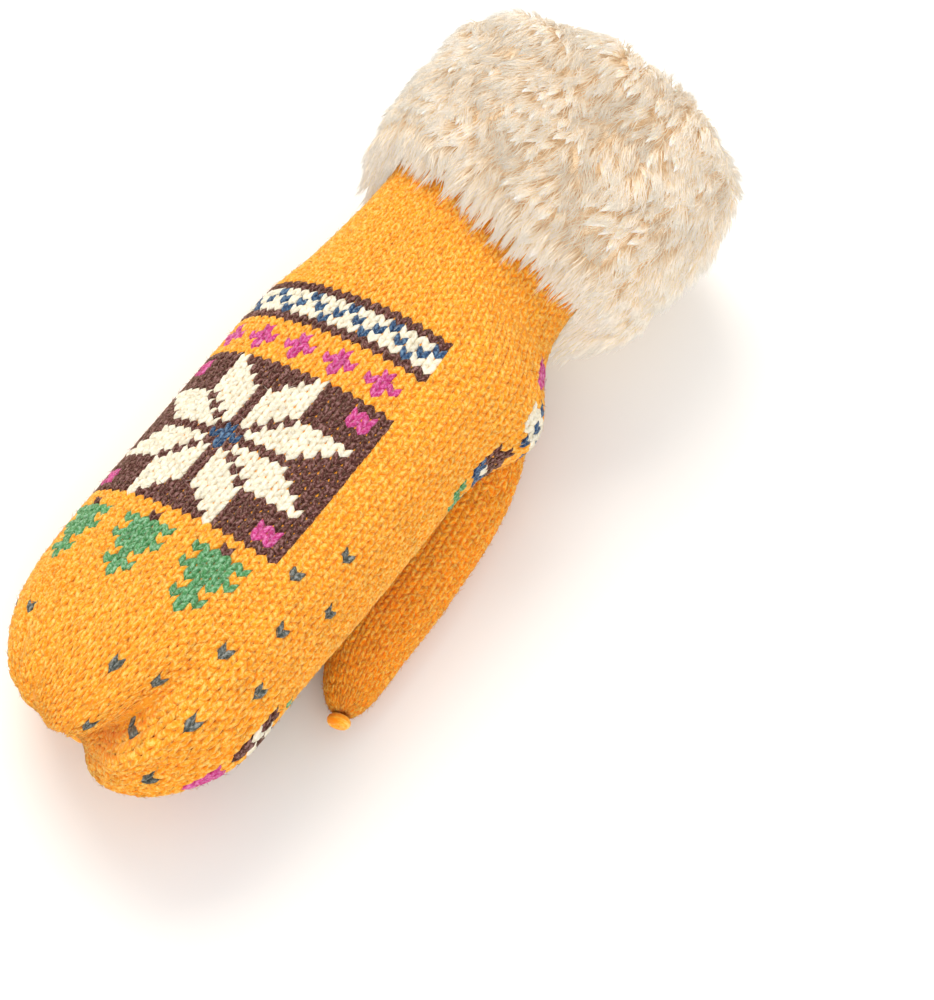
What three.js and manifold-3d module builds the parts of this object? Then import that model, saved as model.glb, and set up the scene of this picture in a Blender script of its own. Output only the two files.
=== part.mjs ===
// A right-hand knitted mitten with a turned-down plush cuff. It lies back of the hand up,
// leaning on its own thumb. Millimetres, +Z up: the fingers point along -Y, the cuff along +Y,
// and the thumb lies on the +X side. The model stands on z = 0 under the middle of its box.
import * as THREE from "three";
import { mergeVertices } from "three/addons/utils/BufferGeometryUtils.js";
import Module from "manifold-3d";

const wasm = await Module();
wasm.setup();

// Driving dimensions of the knitted hand
const handLength = 186; // from the gathered tip to the cuff's lower edge
const handWidth = 93;
const handDepth = 56;
const wristWidth = 72;
const wristDepth = 54;
const knitWall = 3.4;
const knitTuck = 22; // how far the knit runs up between the cuff's two layers
const handLean = 27.5; // degrees that the thumb side is propped up
const palmPress = 4; // how far the palm is flattened on what it lies on
const sectionPower = 2.25; // 2 is an ellipse, and more is squarer
const tipTilt = 20; // degrees that the drawn-in end is turned towards the palm
const tipSlant = 17; // degrees that the thumb's side of the end reaches further
const tiltReach = 0.25; // share of handLength over which the tilt and slant fade out
const pressReach = 0.35; // share of handLength to the point that the tip's folds draw towards
const wristLift = 0.4; // share of handLength from which the middle rises to the cuff's height

// Driving dimensions of the thumb
const thumbLength = 110; // along its middle, from inside the palm to its closed end
const thumbWidth = 26;
const thumbDepth = 23;

// Driving dimensions of the plush cuff
const cuffHeight = 64;
const pileDepth = 13.5; // knit to the outside of the pile, without its locks
const liningDepth = 6;
const liningReach = 34; // how far the lining goes down inside the wrist
const cuffPress = 5; // how far the cuff is flattened on what it lies on
const looseTurn = 315; // degrees round the hand, where the cuff hangs loosest
const looseFullness = 0.2; // extra pile there, as a share of pileDepth
const waveFullness = 0.035; // and that of three slow waves round the cuff
const lipDrawSides = 0.07; // how far the lip is drawn up at the sides, of cuffHeight
const lipDrawTight = 0.1; // and further away from looseTurn
const creaseTurn = 62; // middle of the crease over the bent cuff, degrees round the hand
const creaseSpread = 52; // degrees
const creaseRise = 0.66; // of cuffHeight
const creaseWidth = 0.13; // of cuffHeight
const creaseDepth = 0.26; // of pileDepth
const lockLength = 22;
const lockWidth = 15;
const lockStand = 3; // how far a lock stands out of the pile
const lockUnevenness = 0.15; // how far a lock strays from its place, of the step between them
const lockSwing = 0.5; // how far a lock leans sideways, of its length
const lockSizes = 0.12; // how much locks differ in size
const lowestLock = 1.3; // distance of the lowest row from the lip, of lockLength
const highestLock = 0.9; // place of the highest row, of the way over the pile

// Driving dimensions of the yarn knots that close the tips
const yarnThickness = 2.6;
const tipKnotWidth = 8.5;
const thumbKnotWidth = 7;

const clearance = 0.3; // between pieces that touch
const smallestFace = 0.03;

// The knitted hand from its drawn-in tip to the palm. along is a share of handLength, width and
// depth are shares of the full section, and drop and side are how far the section's middle lies
// towards the palm and the thumb, as shares of handDepth and handWidth.
const tipSections = [
  { along: 0.04, width: 0.03, depth: 0.03, drop: 0.13, side: -0.07 },
  { along: 0.014, width: 0.14, depth: 0.17, drop: 0.13, side: -0.07 },
  { along: 0.0, width: 0.33, depth: 0.4, drop: 0.11, side: -0.06 },
  { along: 0.012, width: 0.57, depth: 0.64, drop: 0.08, side: -0.04 },
  { along: 0.06, width: 0.77, depth: 0.82, drop: 0.045, side: -0.015 },
  { along: 0.14, width: 0.91, depth: 0.94, drop: 0.015, side: 0.0 },
  { along: 0.25, width: 0.975, depth: 0.99, drop: 0.0, side: 0.0 },
  { along: 0.4, width: 1.0, depth: 1.0, drop: 0.0, side: 0.0 },
];

// From the palm to the wrist. along is a share of handLength, and narrowing a share of the way
// from the palm's section to the wrist's.
const wristSections = [
  { along: 0.56, narrowing: 0.0 },
  { along: 0.7, narrowing: 0.04 },
  { along: 0.79, narrowing: 0.16 },
  { along: 0.87, narrowing: 0.5 },
  { along: 0.94, narrowing: 0.85 },
];

// Folds that the gathering draws in round the tip. turn is in degrees round the hand from its
// thumb side over the back of the hand, depth a share of handDepth, spread in degrees and reach
// a share of handLength.
const tipFolds = [
  { turn: 38, depth: 0.22, spread: 10, reach: 0.115 },
  { turn: 84, depth: 0.06, spread: 10, reach: 0.15 },
  { turn: 118, depth: 0.06, spread: 10, reach: 0.12 },
  { turn: 158, depth: 0.08, spread: 12, reach: 0.1 },
  { turn: 204, depth: 0.09, spread: 12, reach: 0.12 },
  { turn: 246, depth: 0.07, spread: 11, reach: 0.11 },
  { turn: 290, depth: 0.09, spread: 12, reach: 0.12 },
  { turn: 332, depth: 0.06, spread: 9, reach: 0.1 },
  { turn: 4, depth: 0.06, spread: 8, reach: 0.1 },
];

// Soft dents of the hand's side, and swells where depth is below zero. along and length are
// shares of handLength.
const handDents = [
  { turn: 40, along: 0.09, depth: 0.09, spread: 24, length: 0.08 },
  { turn: 128, along: 0.86, depth: 0.03, spread: 26, length: 0.06 },
  { turn: 18, along: 0.9, depth: 0.05, spread: 26, length: 0.05 },
  { turn: 320, along: 0.81, depth: -0.17, spread: 36, length: 0.08 },
];

// The thumb's middle line, from inside the palm to its end. along is a share of handLength,
// side a share of handWidth from the hand's middle, and lift a share of thumbDepth.
const thumbLine = [
  { along: 0.87, side: 0.24, lift: 1.08 },
  { along: 0.79, side: 0.355, lift: 0.85 },
  { along: 0.69, side: 0.415, lift: 0.6 },
  { along: 0.56, side: 0.445, lift: 0.47 },
  { along: 0.42, side: 0.475, lift: 0.45 },
  { along: 0.3, side: 0.55, lift: 0.41 },
];

// The thumb's girth. place is a share of thumbLength and girth of the full section.
const thumbSections = [
  { place: 0.0, girth: 1.05 },
  { place: 0.25, girth: 1.06 },
  { place: 0.45, girth: 1.0 },
  { place: 0.65, girth: 0.94 },
  { place: 0.8, girth: 0.84 },
  { place: 0.89, girth: 0.7 },
  { place: 0.96, girth: 0.48 },
  { place: 0.995, girth: 0.2 },
  { place: 0.985, girth: 0.03 },
];

// The cuff's outer face, from its lower lip over the rolled rim. rise is a share of cuffHeight
// and stand a share of pileDepth.
const pileProfile = [
  { rise: 0.0, stand: 0.03 },
  { rise: -0.05, stand: 0.3 },
  { rise: -0.035, stand: 0.68 },
  { rise: 0.06, stand: 0.93 },
  { rise: 0.24, stand: 1.04 },
  { rise: 0.46, stand: 1.08 },
  { rise: 0.7, stand: 1.08 },
  { rise: 0.88, stand: 0.98 },
  { rise: 0.98, stand: 0.7 },
  { rise: 1.0, stand: 0.3 },
  { rise: 0.975, stand: 0.0 },
];

// The lining's face on the hand's hollow, from under the rim down to the tuck. rise is a share of
// cuffHeight and depth a share of the whole way in.
const liningProfile = [
  { rise: 0.94, depth: 0.5 },
  { rise: 0.84, depth: 0.86 },
  { rise: 0.7, depth: 1.0 },
];

// A lock's form from its root to its tip: how proud of the pile, as a share of lockStand, and
// how wide, as a share of lockWidth.
const lockForm = [
  { proud: -1.2, width: 0.7 },
  { proud: 0.5, width: 1.0 },
  { proud: 1.0, width: 0.8 },
  { proud: 0.7, width: 0.12 },
];

// Detail of the meshes
const handTurns = 40;
const handRings = 25;
const hollowRings = 18;
const thumbTurns = 18;
const thumbRings = 14;
const pileRings = 11;
const lockSides = 5;
const lockRows = 4;
const locksInRow = 14;
const knotSides = 8;
const knotTurns = 14;
const slopeStep = 0.004; // step for the slope of the hand's surface, as a share of its course
const thumbStep = 0.01; // and of the thumb's
const halvings = 24; // of the search for a place on the hand's course

const rad = THREE.MathUtils.degToRad;
const clamp = THREE.MathUtils.clamp;
const lerp = THREE.MathUtils.lerp;
const smoothstep = THREE.MathUtils.smoothstep;

// One column of a table at a place between its rows, 0 at the first row and 1 at the last.
function column(rows, name, place) {
  const last = rows.length - 1;
  const at = clamp(place, 0, 1) * last;
  const i = Math.min(Math.floor(at), last - 1);
  const f = at - i;
  const value = (k) => rows[clamp(k, 0, last)][name];
  const [a, b, c, d] = [value(i - 1), value(i), value(i + 1), value(i + 2)];
  return b + 0.5 * f * (c - a + f * (2 * a - 5 * b + 4 * c - d + f * (3 * (b - c) + d - a)));
}

// The hand's whole course of sections in millimetres, with half sizes from the middle.
const wristSection = { width: wristWidth / 2, depth: wristDepth / 2, drop: 0, side: 0 };
const handCourse = [
  ...tipSections.map((row) => ({
    along: row.along * handLength,
    width: (row.width * handWidth) / 2,
    depth: (row.depth * handDepth) / 2,
    drop: row.drop * handDepth,
    side: row.side * handWidth,
  })),
  ...wristSections.map((row) => ({
    along: row.along * handLength,
    width: lerp(handWidth, wristWidth, row.narrowing) / 2,
    depth: lerp(handDepth, wristDepth, row.narrowing) / 2,
    drop: 0,
    side: 0,
  })),
  { along: handLength, ...wristSection },
  { along: handLength + knitTuck, ...wristSection },
];

const lean = rad(handLean);

// How far a leaning section reaches below its own middle.
function reachBelow(halfWidth, halfDepth) {
  return Math.hypot(halfWidth * Math.sin(lean), halfDepth * Math.cos(lean));
}

const palmHeight = reachBelow(handWidth / 2, handDepth / 2) - palmPress;
const cuffMiddleHeight =
  reachBelow(wristWidth / 2 + pileDepth, wristDepth / 2 + pileDepth) - cuffPress;

// The height of the hand's middle over the surface that it lies on.
function middleHeight(along) {
  const rise = smoothstep(along, wristLift * handLength, handLength + cuffHeight / 3);
  return lerp(palmHeight, cuffMiddleHeight, rise);
}

// A point of the leaning hand from its place across, along and up in the hand's own section.
function lay(across, along, up, floor) {
  const x = across * Math.cos(lean) - up * Math.sin(lean);
  const z = across * Math.sin(lean) + up * Math.cos(lean) + middleHeight(along);
  return new THREE.Vector3(x, along, Math.max(z, floor));
}

// A point on a rounded section, as shares across and up.
function rounded(turn) {
  const power = 2 / sectionPower;
  const c = Math.cos(turn);
  const s = Math.sin(turn);
  return [Math.sign(c) * Math.abs(c) ** power, Math.sign(s) * Math.abs(s) ** power];
}

// The difference of two turns in degrees, from -180 to 180.
function turnFrom(turn, other) {
  return THREE.MathUtils.euclideanModulo(turn - other + 180, 360) - 180;
}

// How deep the folds and dents press the hand in at one place.
function drawnIn(turn, along, girth) {
  const degrees = THREE.MathUtils.radToDeg(turn);
  let depth = 0;
  for (const fold of tipFolds) {
    const off = (turnFrom(degrees, fold.turn) * girth) / fold.spread;
    const far = along / (fold.reach * handLength);
    depth += fold.depth * handDepth * Math.exp(-off * off - far * far);
  }
  for (const dent of handDents) {
    const off = turnFrom(degrees, dent.turn) / dent.spread;
    const far = (along - dent.along * handLength) / (dent.length * handLength);
    depth += dent.depth * handDepth * Math.exp(-off * off - far * far);
  }
  return depth * smoothstep(girth, 0.08, 0.5);
}

// A point of the hand's surface, sunk into the wall by inset. place runs from 0 at the tip to 1.
function handPoint(place, turn, inset) {
  const [low, high] = [Math.max(place - slopeStep, 0), Math.min(place + slopeStep, 1)];
  const at = (name, where) => column(handCourse, name, where);
  const run = at("along", high) - at("along", low);
  const widening = at("width", high) - at("width", low);
  const deepening = at("depth", high) - at("depth", low);
  const rise = (widening + deepening) / 2;
  const length = Math.hypot(run, rise);
  const along = at("along", place) + (inset * rise) / length;
  const width = at("width", place) - (inset * run) / length;
  const depth = at("depth", place) - (inset * run) / length;
  const girth = at("width", place) / (handWidth / 2);
  const press = drawnIn(turn, at("along", place), girth);
  const [c, s] = rounded(turn);
  const reach = Math.max(pressReach * handLength - along, 0);
  const towards = new THREE.Vector3(-c * width, reach, -s * depth);
  towards.normalize().multiplyScalar(press);
  const up = s * depth + towards.z - at("drop", place);
  const tilted = 1 - smoothstep(along, 0, tiltReach * handLength);
  const across = c * width + towards.x + at("side", place);
  const back = -(up * Math.tan(rad(tipTilt)) + across * Math.tan(rad(tipSlant))) * tilted;
  return lay(across, along + towards.y + back, up, inset);
}

// A ring of points, one for each of a number of turns.
function ring(turns, pointAt) {
  return Array.from({ length: turns }, (_, k) => pointAt((2 * Math.PI * k) / turns));
}

// A solid from a grid of rings. Its two ends are closed to their middles, or to each other.
function solidOfRings(rings, endless = false) {
  const turns = rings[0].length;
  const points = rings.flat();
  const faces = [];
  const bands = endless ? rings.length : rings.length - 1;
  for (let i = 0; i < bands; i++) {
    const j = (i + 1) % rings.length;
    for (let k = 0; k < turns; k++) {
      const n = (k + 1) % turns;
      const [a, b] = [i * turns + k, i * turns + n];
      const [c, d] = [j * turns + n, j * turns + k];
      faces.push(a, b, c, a, c, d);
    }
  }
  if (!endless) {
    for (const i of [0, rings.length - 1]) {
      const middle = new THREE.Vector3();
      rings[i].forEach((p) => middle.addScaledVector(p, 1 / turns));
      points.push(middle);
      for (let k = 0; k < turns; k++) {
        const [a, b] = [i * turns + k, i * turns + ((k + 1) % turns)];
        faces.push(...(i === 0 ? [b, a] : [a, b]), points.length - 1);
      }
    }
  }
  return solidOfFaces(points, faces);
}

// A solid from points and triangles, turned to face outwards.
function solidOfFaces(points, faces) {
  let volume = 0;
  for (let i = 0; i < faces.length; i += 3) {
    const [a, b, c] = [points[faces[i]], points[faces[i + 1]], points[faces[i + 2]]];
    volume += a.dot(new THREE.Vector3().crossVectors(b, c));
  }
  const geometry = new THREE.BufferGeometry().setFromPoints(points);
  geometry.setIndex(faces);
  if (volume < 0) {
    geometry.index.array.reverse();
  }
  return solidOf(geometry);
}

// A solid from a closed geometry.
function solidOf(geometry) {
  geometry.deleteAttribute("normal");
  geometry.deleteAttribute("uv");
  const merged = mergeVertices(geometry, 1e-4);
  const vertProperties = merged.attributes.position.array;
  const triVerts = new Uint32Array(merged.index.array);
  return new wasm.Manifold(new wasm.Mesh({ numProp: 3, vertProperties, triVerts }));
}

// The hand as a filled form, its surface sunk by inset and carried past the tuck's end.
function handForm(inset, rings, past) {
  const grid = [];
  for (let i = 0; i <= rings; i++) {
    grid.push(ring(handTurns, (turn) => handPoint(i / rings, turn, inset)));
  }
  if (past > 0) {
    const end = handLength + knitTuck + past;
    grid.push(grid[rings].map((p) => new THREE.Vector3(p.x, end, p.z)));
  }
  return solidOfRings(grid);
}

const thumbLineLong = new THREE.CatmullRomCurve3(
  thumbLine.map(
    (row) =>
      new THREE.Vector3(row.side * handWidth, row.along * handLength, row.lift * thumbDepth),
  ),
);

// The thumb's middle at a share of thumbLength, measured from its root.
function thumbMiddle(place) {
  return thumbLineLong.getPointAt(clamp((place * thumbLength) / thumbLineLong.getLength(), 0, 1));
}

// A point of the thumb's surface, sunk into the wall by inset.
function thumbPoint(place, turn, inset) {
  const at = (name, where) => column(thumbSections, name, where);
  const [low, high] = [Math.max(place - thumbStep, 0), Math.min(place + thumbStep, 1)];
  const run = (at("place", high) - at("place", low)) * thumbLength;
  const rise = ((at("girth", high) - at("girth", low)) * (thumbWidth + thumbDepth)) / 4;
  const length = Math.hypot(run, rise);
  const girth = at("girth", place);
  const along = at("place", place) + (inset * rise) / length / thumbLength;
  const sink = (inset * run) / length;
  const point = thumbMiddle(along);
  const ahead = thumbMiddle(along + thumbStep);
  const tangent = ahead.sub(thumbMiddle(along - thumbStep)).normalize();
  const side = new THREE.Vector3().crossVectors(tangent, new THREE.Vector3(0, 0, 1)).normalize();
  const up = new THREE.Vector3().crossVectors(side, tangent);
  point.addScaledVector(side, ((girth * thumbWidth) / 2 - sink) * Math.cos(turn));
  point.addScaledVector(up, ((girth * thumbDepth) / 2 - sink) * Math.sin(turn));
  point.z = Math.max(point.z, inset);
  return point;
}

// The thumb as a filled form, its surface sunk by inset.
function thumbForm(inset) {
  const grid = [];
  for (let i = 0; i <= thumbRings; i++) {
    grid.push(ring(thumbTurns, (turn) => thumbPoint(i / thumbRings, turn, inset)));
  }
  return solidOfRings(grid);
}

// How full the pile is round the cuff.
function fullness(turn) {
  const loose = looseFullness * Math.cos(turn - rad(looseTurn));
  return 1 + loose + waveFullness * Math.sin(3 * turn + 1);
}

// How far the lower lip is drawn up, as a share of cuffHeight.
function lipDraw(turn) {
  const off = turn - rad(looseTurn);
  return lipDrawSides * (1 + Math.cos(2 * off)) + lipDrawTight * Math.max(-Math.cos(off), 0);
}

// The crease that the bending of the cuff leaves across its upper side.
function crease(turn, rise) {
  const off = turnFrom(THREE.MathUtils.radToDeg(turn), creaseTurn) / creaseSpread;
  const far = (rise / cuffHeight - creaseRise) / creaseWidth;
  return creaseDepth * pileDepth * Math.exp(-off * off - far * far);
}

// The place on the hand's course that lies at a distance from the tip.
function placeAt(along) {
  let [low, high] = [tipSections.length / handCourse.length, 1];
  for (let i = 0; i < halvings; i++) {
    const half = (low + high) / 2;
    [low, high] = column(handCourse, "along", half) < along ? [half, high] : [low, half];
  }
  return (low + high) / 2;
}

// A point of the cuff: rise over its lower lip and stand out from the knit's outer face. Over
// the knit's end the cuff goes straight on.
function cuffPoint(rise, stand, turn) {
  const point = handPoint(placeAt(handLength + Math.min(rise, knitTuck)), turn, -stand);
  point.y += Math.max(rise - knitTuck, 0);
  point.z = Math.max(point.z, 0);
  return point;
}

const pileCurve = new THREE.CatmullRomCurve3(
  pileProfile.map(
    (row) => new THREE.Vector3(row.rise * cuffHeight, row.stand * pileDepth, 0),
  ),
);

// A point on the pile's outer face, at a distance from the lower lip over the pile, and proud
// of it.
function pilePoint(far, turn, proud) {
  const share = clamp(far / pileCurve.getLength(), 0, 1);
  const point = pileCurve.getPointAt(share);
  const tangent = pileCurve.getTangentAt(share);
  const stand = (point.y + proud * tangent.x) * fullness(turn) - crease(turn, point.x);
  const drawn = lipDraw(turn) * (cuffHeight - point.x);
  return cuffPoint(point.x - proud * tangent.y + drawn, Math.max(stand, clearance), turn);
}

// How far over the cuff's lower lip the hand's rings lie, from a lowest place up to the tuck.
function ringRises(rings, lowest) {
  const rises = [];
  for (let i = 0; i < rings; i++) {
    rises.push(column(handCourse, "along", i / rings) - handLength);
  }
  return rises.filter((rise) => rise > lowest && rise < knitTuck);
}

// The cuff's backing and pile: out over the knit, round the rim and down inside as the lining.
// Its faces on the knit follow the knit's own rings.
function cuffForm() {
  const inside = -knitWall - clearance;
  const lining = inside - liningDepth;
  const slotTop = knitTuck + clearance;
  const onWall = ringRises(hollowRings, -liningReach);
  const inSlot = ringRises(handRings, clearance).reverse();
  const inner = [
    ...liningProfile.map((row) => [row.rise * cuffHeight, row.depth * lining]),
    [slotTop, lining],
    [0, lining],
    [-liningReach / 2, lining],
    [onWall[0], lining],
    [onWall[0] - liningDepth / 3, (lining + inside) / 2],
    ...onWall.map((rise) => [rise, inside]),
    [slotTop, inside],
    [slotTop, clearance],
    ...inSlot.map((rise) => [rise, clearance]),
  ];
  const rings = [];
  for (let i = 0; i <= pileRings; i++) {
    const far = (i / pileRings) * pileCurve.getLength();
    rings.push(ring(handTurns, (turn) => pilePoint(far, turn, 0)));
  }
  for (const [rise, stand] of inner) {
    rings.push(ring(handTurns, (turn) => cuffPoint(rise, stand, turn)));
  }
  return solidOfRings(rings, true);
}

// One lock of the pile: a flat tuft that starts in the pile and lies towards the fingers.
function pileLock(far, turn, swing, size) {
  const grid = lockForm.map((row, i) => {
    const down = (i / (lockForm.length - 1)) * lockLength * size;
    const beside = (swing * down) / (wristWidth / 2 + pileDepth);
    const place = [far - down, turn + beside];
    const middle = pilePoint(...place, row.proud * lockStand);
    const out = pilePoint(...place, row.proud * lockStand + 1).sub(middle).normalize();
    const across = pilePoint(place[0], place[1] + 0.1, row.proud * lockStand);
    across.sub(middle).normalize();
    return ring(lockSides, (side) => {
      const point = middle.clone();
      point.addScaledVector(across, (Math.cos(side) * lockWidth * row.width * size) / 2);
      point.addScaledVector(out, Math.sin(side) * lockStand * row.width * size);
      point.z = Math.max(point.z, 0);
      return point;
    });
  });
  return solidOfRings(grid);
}

// A fixed spread of values between -1 and 1, one for each counted thing.
function scatter(count, seed) {
  const value = Math.sin(count * 12.9898 + seed * 78.233) * 43758.5453;
  return 2 * (value - Math.floor(value)) - 1;
}

// All locks of the pile, row after row from the lower lip to the rim.
function pileLocks() {
  const locks = [];
  const first = lockLength * lowestLock;
  const rowStep = (pileCurve.getLength() * highestLock - first) / (lockRows - 1);
  for (let row = 0; row < lockRows; row++) {
    for (let i = 0; i < locksInRow; i++) {
      const count = row * locksInRow + i;
      const place = i + (row % 2) / 2 + lockUnevenness * scatter(count, 1);
      const turn = (2 * Math.PI * place) / locksInRow;
      const far = first + rowStep * (row + lockUnevenness * scatter(count, 2));
      const swing = lockSwing * scatter(count, 3);
      const size = 1 + lockSizes * scatter(count, 4);
      locks.push(pileLock(far, turn, swing, size));
    }
  }
  return locks;
}

// A small ring of yarn that closes a gathered tip, lying across the given direction.
function yarnKnot(width, middle, facing) {
  const radius = (width - yarnThickness) / 2;
  const turned = new THREE.TorusGeometry(radius, yarnThickness / 2, knotSides, knotTurns);
  const spin = new THREE.Quaternion().setFromUnitVectors(new THREE.Vector3(0, 0, 1), facing);
  turned.applyQuaternion(spin).translate(middle.x, middle.y, middle.z);
  return solidOf(turned);
}

// The hand is a shell, open at the wrist and where the thumb leaves it.
const handFilled = handForm(0, handRings, 0);
const handHollow = handForm(knitWall, hollowRings, knitWall);
const thumbFilled = thumbForm(0);
const thumbHollow = thumbForm(knitWall);
const handShell = handFilled.subtract(handHollow).subtract(thumbHollow);

// The thumb starts at the hand's surface.
const handWithRoom = handForm(-clearance, handRings, clearance);
const thumbShell = thumbFilled.subtract(thumbHollow).subtract(handWithRoom);

// The cuff's locks are fused to its pile.
const plushCuff = wasm.Manifold.union([cuffForm(), ...pileLocks()]);

// Each knot sits in its tip's hollow, clear of the knit.
const tipKnotMiddle = handPoint(0, 0, 0).lerp(handPoint(0, Math.PI, 0), 0.5);
tipKnotMiddle.y -= yarnThickness;
const tipKnot = yarnKnot(tipKnotWidth, tipKnotMiddle, new THREE.Vector3(0, 1, 0)).subtract(
  handWithRoom,
);
const thumbFacing = thumbMiddle(1).sub(thumbMiddle(1 - thumbStep)).normalize();
const thumbKnotMiddle = thumbMiddle(1).addScaledVector(thumbFacing, yarnThickness / 2);
const thumbKnot = yarnKnot(thumbKnotWidth, thumbKnotMiddle, thumbFacing).subtract(
  thumbForm(-clearance),
);

// The largest of the bodies that a cut leaves, without slivers finer than smallestFace.
function mainBody(solid) {
  const bodies = solid.asOriginal().simplify(smallestFace).decompose();
  return bodies.reduce((a, b) => (a.volume() > b.volume() ? a : b));
}

// A named mesh in its own material.
function piece(name, solid, look) {
  const mesh = mainBody(solid).getMesh();
  const geometry = new THREE.BufferGeometry();
  geometry.setAttribute("position", new THREE.BufferAttribute(mesh.vertProperties, 3));
  geometry.setIndex(new THREE.BufferAttribute(mesh.triVerts, 1));
  const made = new THREE.Mesh(geometry, new THREE.MeshStandardMaterial(look));
  made.name = name;
  return made;
}

const mustardWool = { color: 0xf2a02c, roughness: 0.92, metalness: 0 };
const paleWool = { color: 0xf7b64c, roughness: 0.92, metalness: 0 };
const creamPlush = { color: 0xe4cdb0, roughness: 0.96, metalness: 0 };

const mitten = new THREE.Group();
mitten.add(
  piece("hand", handShell, mustardWool),
  piece("thumb", thumbShell, mustardWool),
  piece("plush_cuff", plushCuff, creamPlush),
  piece("tip_knot", tipKnot, paleWool),
  piece("thumb_knot", thumbKnot, paleWool),
);

const box = new THREE.Box3().setFromObject(mitten);
const middle = box.getCenter(new THREE.Vector3());
mitten.position.set(-middle.x, -middle.y, -box.min.z);

export default mitten;
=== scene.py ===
"""A knitted mitten with a plush cuff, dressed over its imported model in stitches, pile and ties."""

import math

import bpy
import mathutils
import numpy as np
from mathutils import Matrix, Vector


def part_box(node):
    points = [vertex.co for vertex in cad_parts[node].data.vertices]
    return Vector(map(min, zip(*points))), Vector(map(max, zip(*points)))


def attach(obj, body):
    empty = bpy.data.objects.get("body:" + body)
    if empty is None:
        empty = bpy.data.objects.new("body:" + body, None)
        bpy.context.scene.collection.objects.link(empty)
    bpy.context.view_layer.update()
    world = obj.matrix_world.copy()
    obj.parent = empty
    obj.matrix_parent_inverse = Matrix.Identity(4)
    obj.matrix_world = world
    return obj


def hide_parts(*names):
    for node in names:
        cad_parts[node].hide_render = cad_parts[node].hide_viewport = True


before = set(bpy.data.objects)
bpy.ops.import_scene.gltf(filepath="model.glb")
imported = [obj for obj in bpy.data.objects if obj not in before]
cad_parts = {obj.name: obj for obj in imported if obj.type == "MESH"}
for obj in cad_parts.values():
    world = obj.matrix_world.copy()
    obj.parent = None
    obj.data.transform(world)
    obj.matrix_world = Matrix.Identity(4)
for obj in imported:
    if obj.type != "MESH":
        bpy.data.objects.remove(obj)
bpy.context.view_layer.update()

bl_info = {
    "name": "Knitted mitten",
    "version": (1, 0, 0),
    "blender": (4, 5, 0),
    "location": "3D View > Sidebar > Mitten",
    "description": "Knits a mitten stitch by stitch and gives it a plush cuff",
    "category": "Add Mesh",
}

MM = 0.001
TAU = 2 * math.pi
rng = np.random.default_rng(11)

# The mitten's form, in millimetres. Lengths along the hand count from its gathered tip, and turns
# go round it from the thumb's side over the back of the hand.

HAND_LENGTH = 186.0
HAND_WIDTH = 93.0
HAND_DEPTH = 56.0
WRIST_WIDTH = 72.0
WRIST_DEPTH = 54.0
KNIT_WALL = 3.4
KNIT_TUCK = 22.0
HAND_LEAN = math.radians(27.5)
PALM_PRESS = 4.0
SECTION_POWER = 2.25
TIP_TILT = math.radians(20)
TIP_SLANT = math.radians(17)
THUMB_LENGTH = 110.0
THUMB_WIDTH = 26.0
THUMB_DEPTH = 23.0
CUFF_HEIGHT = 64.0
PILE_DEPTH = 13.5
LINING_DEPTH = 6.0
LINING_REACH = 34.0
CUFF_PRESS = 5.0

# The pile is fullest, and its lip lowest, at this turn round the cuff.
LOOSE_TURN = math.radians(315)

# The crease across the cuff: turn and spread in degrees, rise and length as shares of the cuff's
# height, depth as a share of the pile's
CREASE_TURN, CREASE_SPREAD = 62, 52
CREASE_RISE, CREASE_LENGTH, CREASE_DEPTH = 0.66, 0.13, 0.26

# The knit's gauge: worsted wool at 25 stitches to 100 mm
WALE_WIDTH = 4.0
COURSE_HEIGHT = 2.8

# The way round the cuff, and how far a turn of one radian goes on its pile, lip and lining
CUFF_GIRTH = 290.0
PILE_ARC = 52.0
LIP_ARC = 45.0
LINING_ARC = 26.0

# Stitches run this far up under the lip, and this deep into each other where hand and thumb meet.
UNDER_LIP = 4.0
STITCH_OVERLAP = 1.5

# How far the locks of the pile swing aside and lift, by slow waves over the cuff and by chance
LOCK_SWING, SWING_CHANCE = 0.35, 0.22
LOCK_LIFT, LIFT_CHANCE = 1.5, 0.5

# How far a lock's soft body and its strands stand over the pile's face, from root to tip
BODY_UP = ([0, 0.3, 0.7, 1], [-2.9, -1.8, -1.1, -0.9])
STRAND_UP = ([0, 0.5, 1], [-1.85, 0.35, 1.05])
LINING_UP = ([0, 0.5, 1], [-1.0, 1.8, 1.6])

# How full a lock's body is along its length, as a share of its width
BODY_FULLNESS = ([0, 0.07, 0.25, 0.5, 0.75, 0.93, 1], [0, 0.6, 1, 0.85, 0.45, 0.14, 0])

# How wide a lock is at the lip
LIP_LOCK = 4.4

# A leg of a stitch from its foot to its head: its way across in wales, out in shares of the relief,
# and its thickness. It starts half a course down and ends in the next course.
LEG_ACROSS = ([0, 0.25, 0.5, 0.75, 1], [0.04, 0.14, 0.26, 0.36, 0.42])
LEG_UP = ([0, 1], [-0.5, 1.42])
LEG_OUT = ([0, 0.2, 0.5, 0.8, 1], [-0.35, 0.1, 0.2, 0.08, -0.4])
LEG_THICKNESS = ([0, 0.09, 0.35, 0.65, 0.91, 1], [0.0, 0.75, 1.0, 1.0, 0.72, 0.0])

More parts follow.
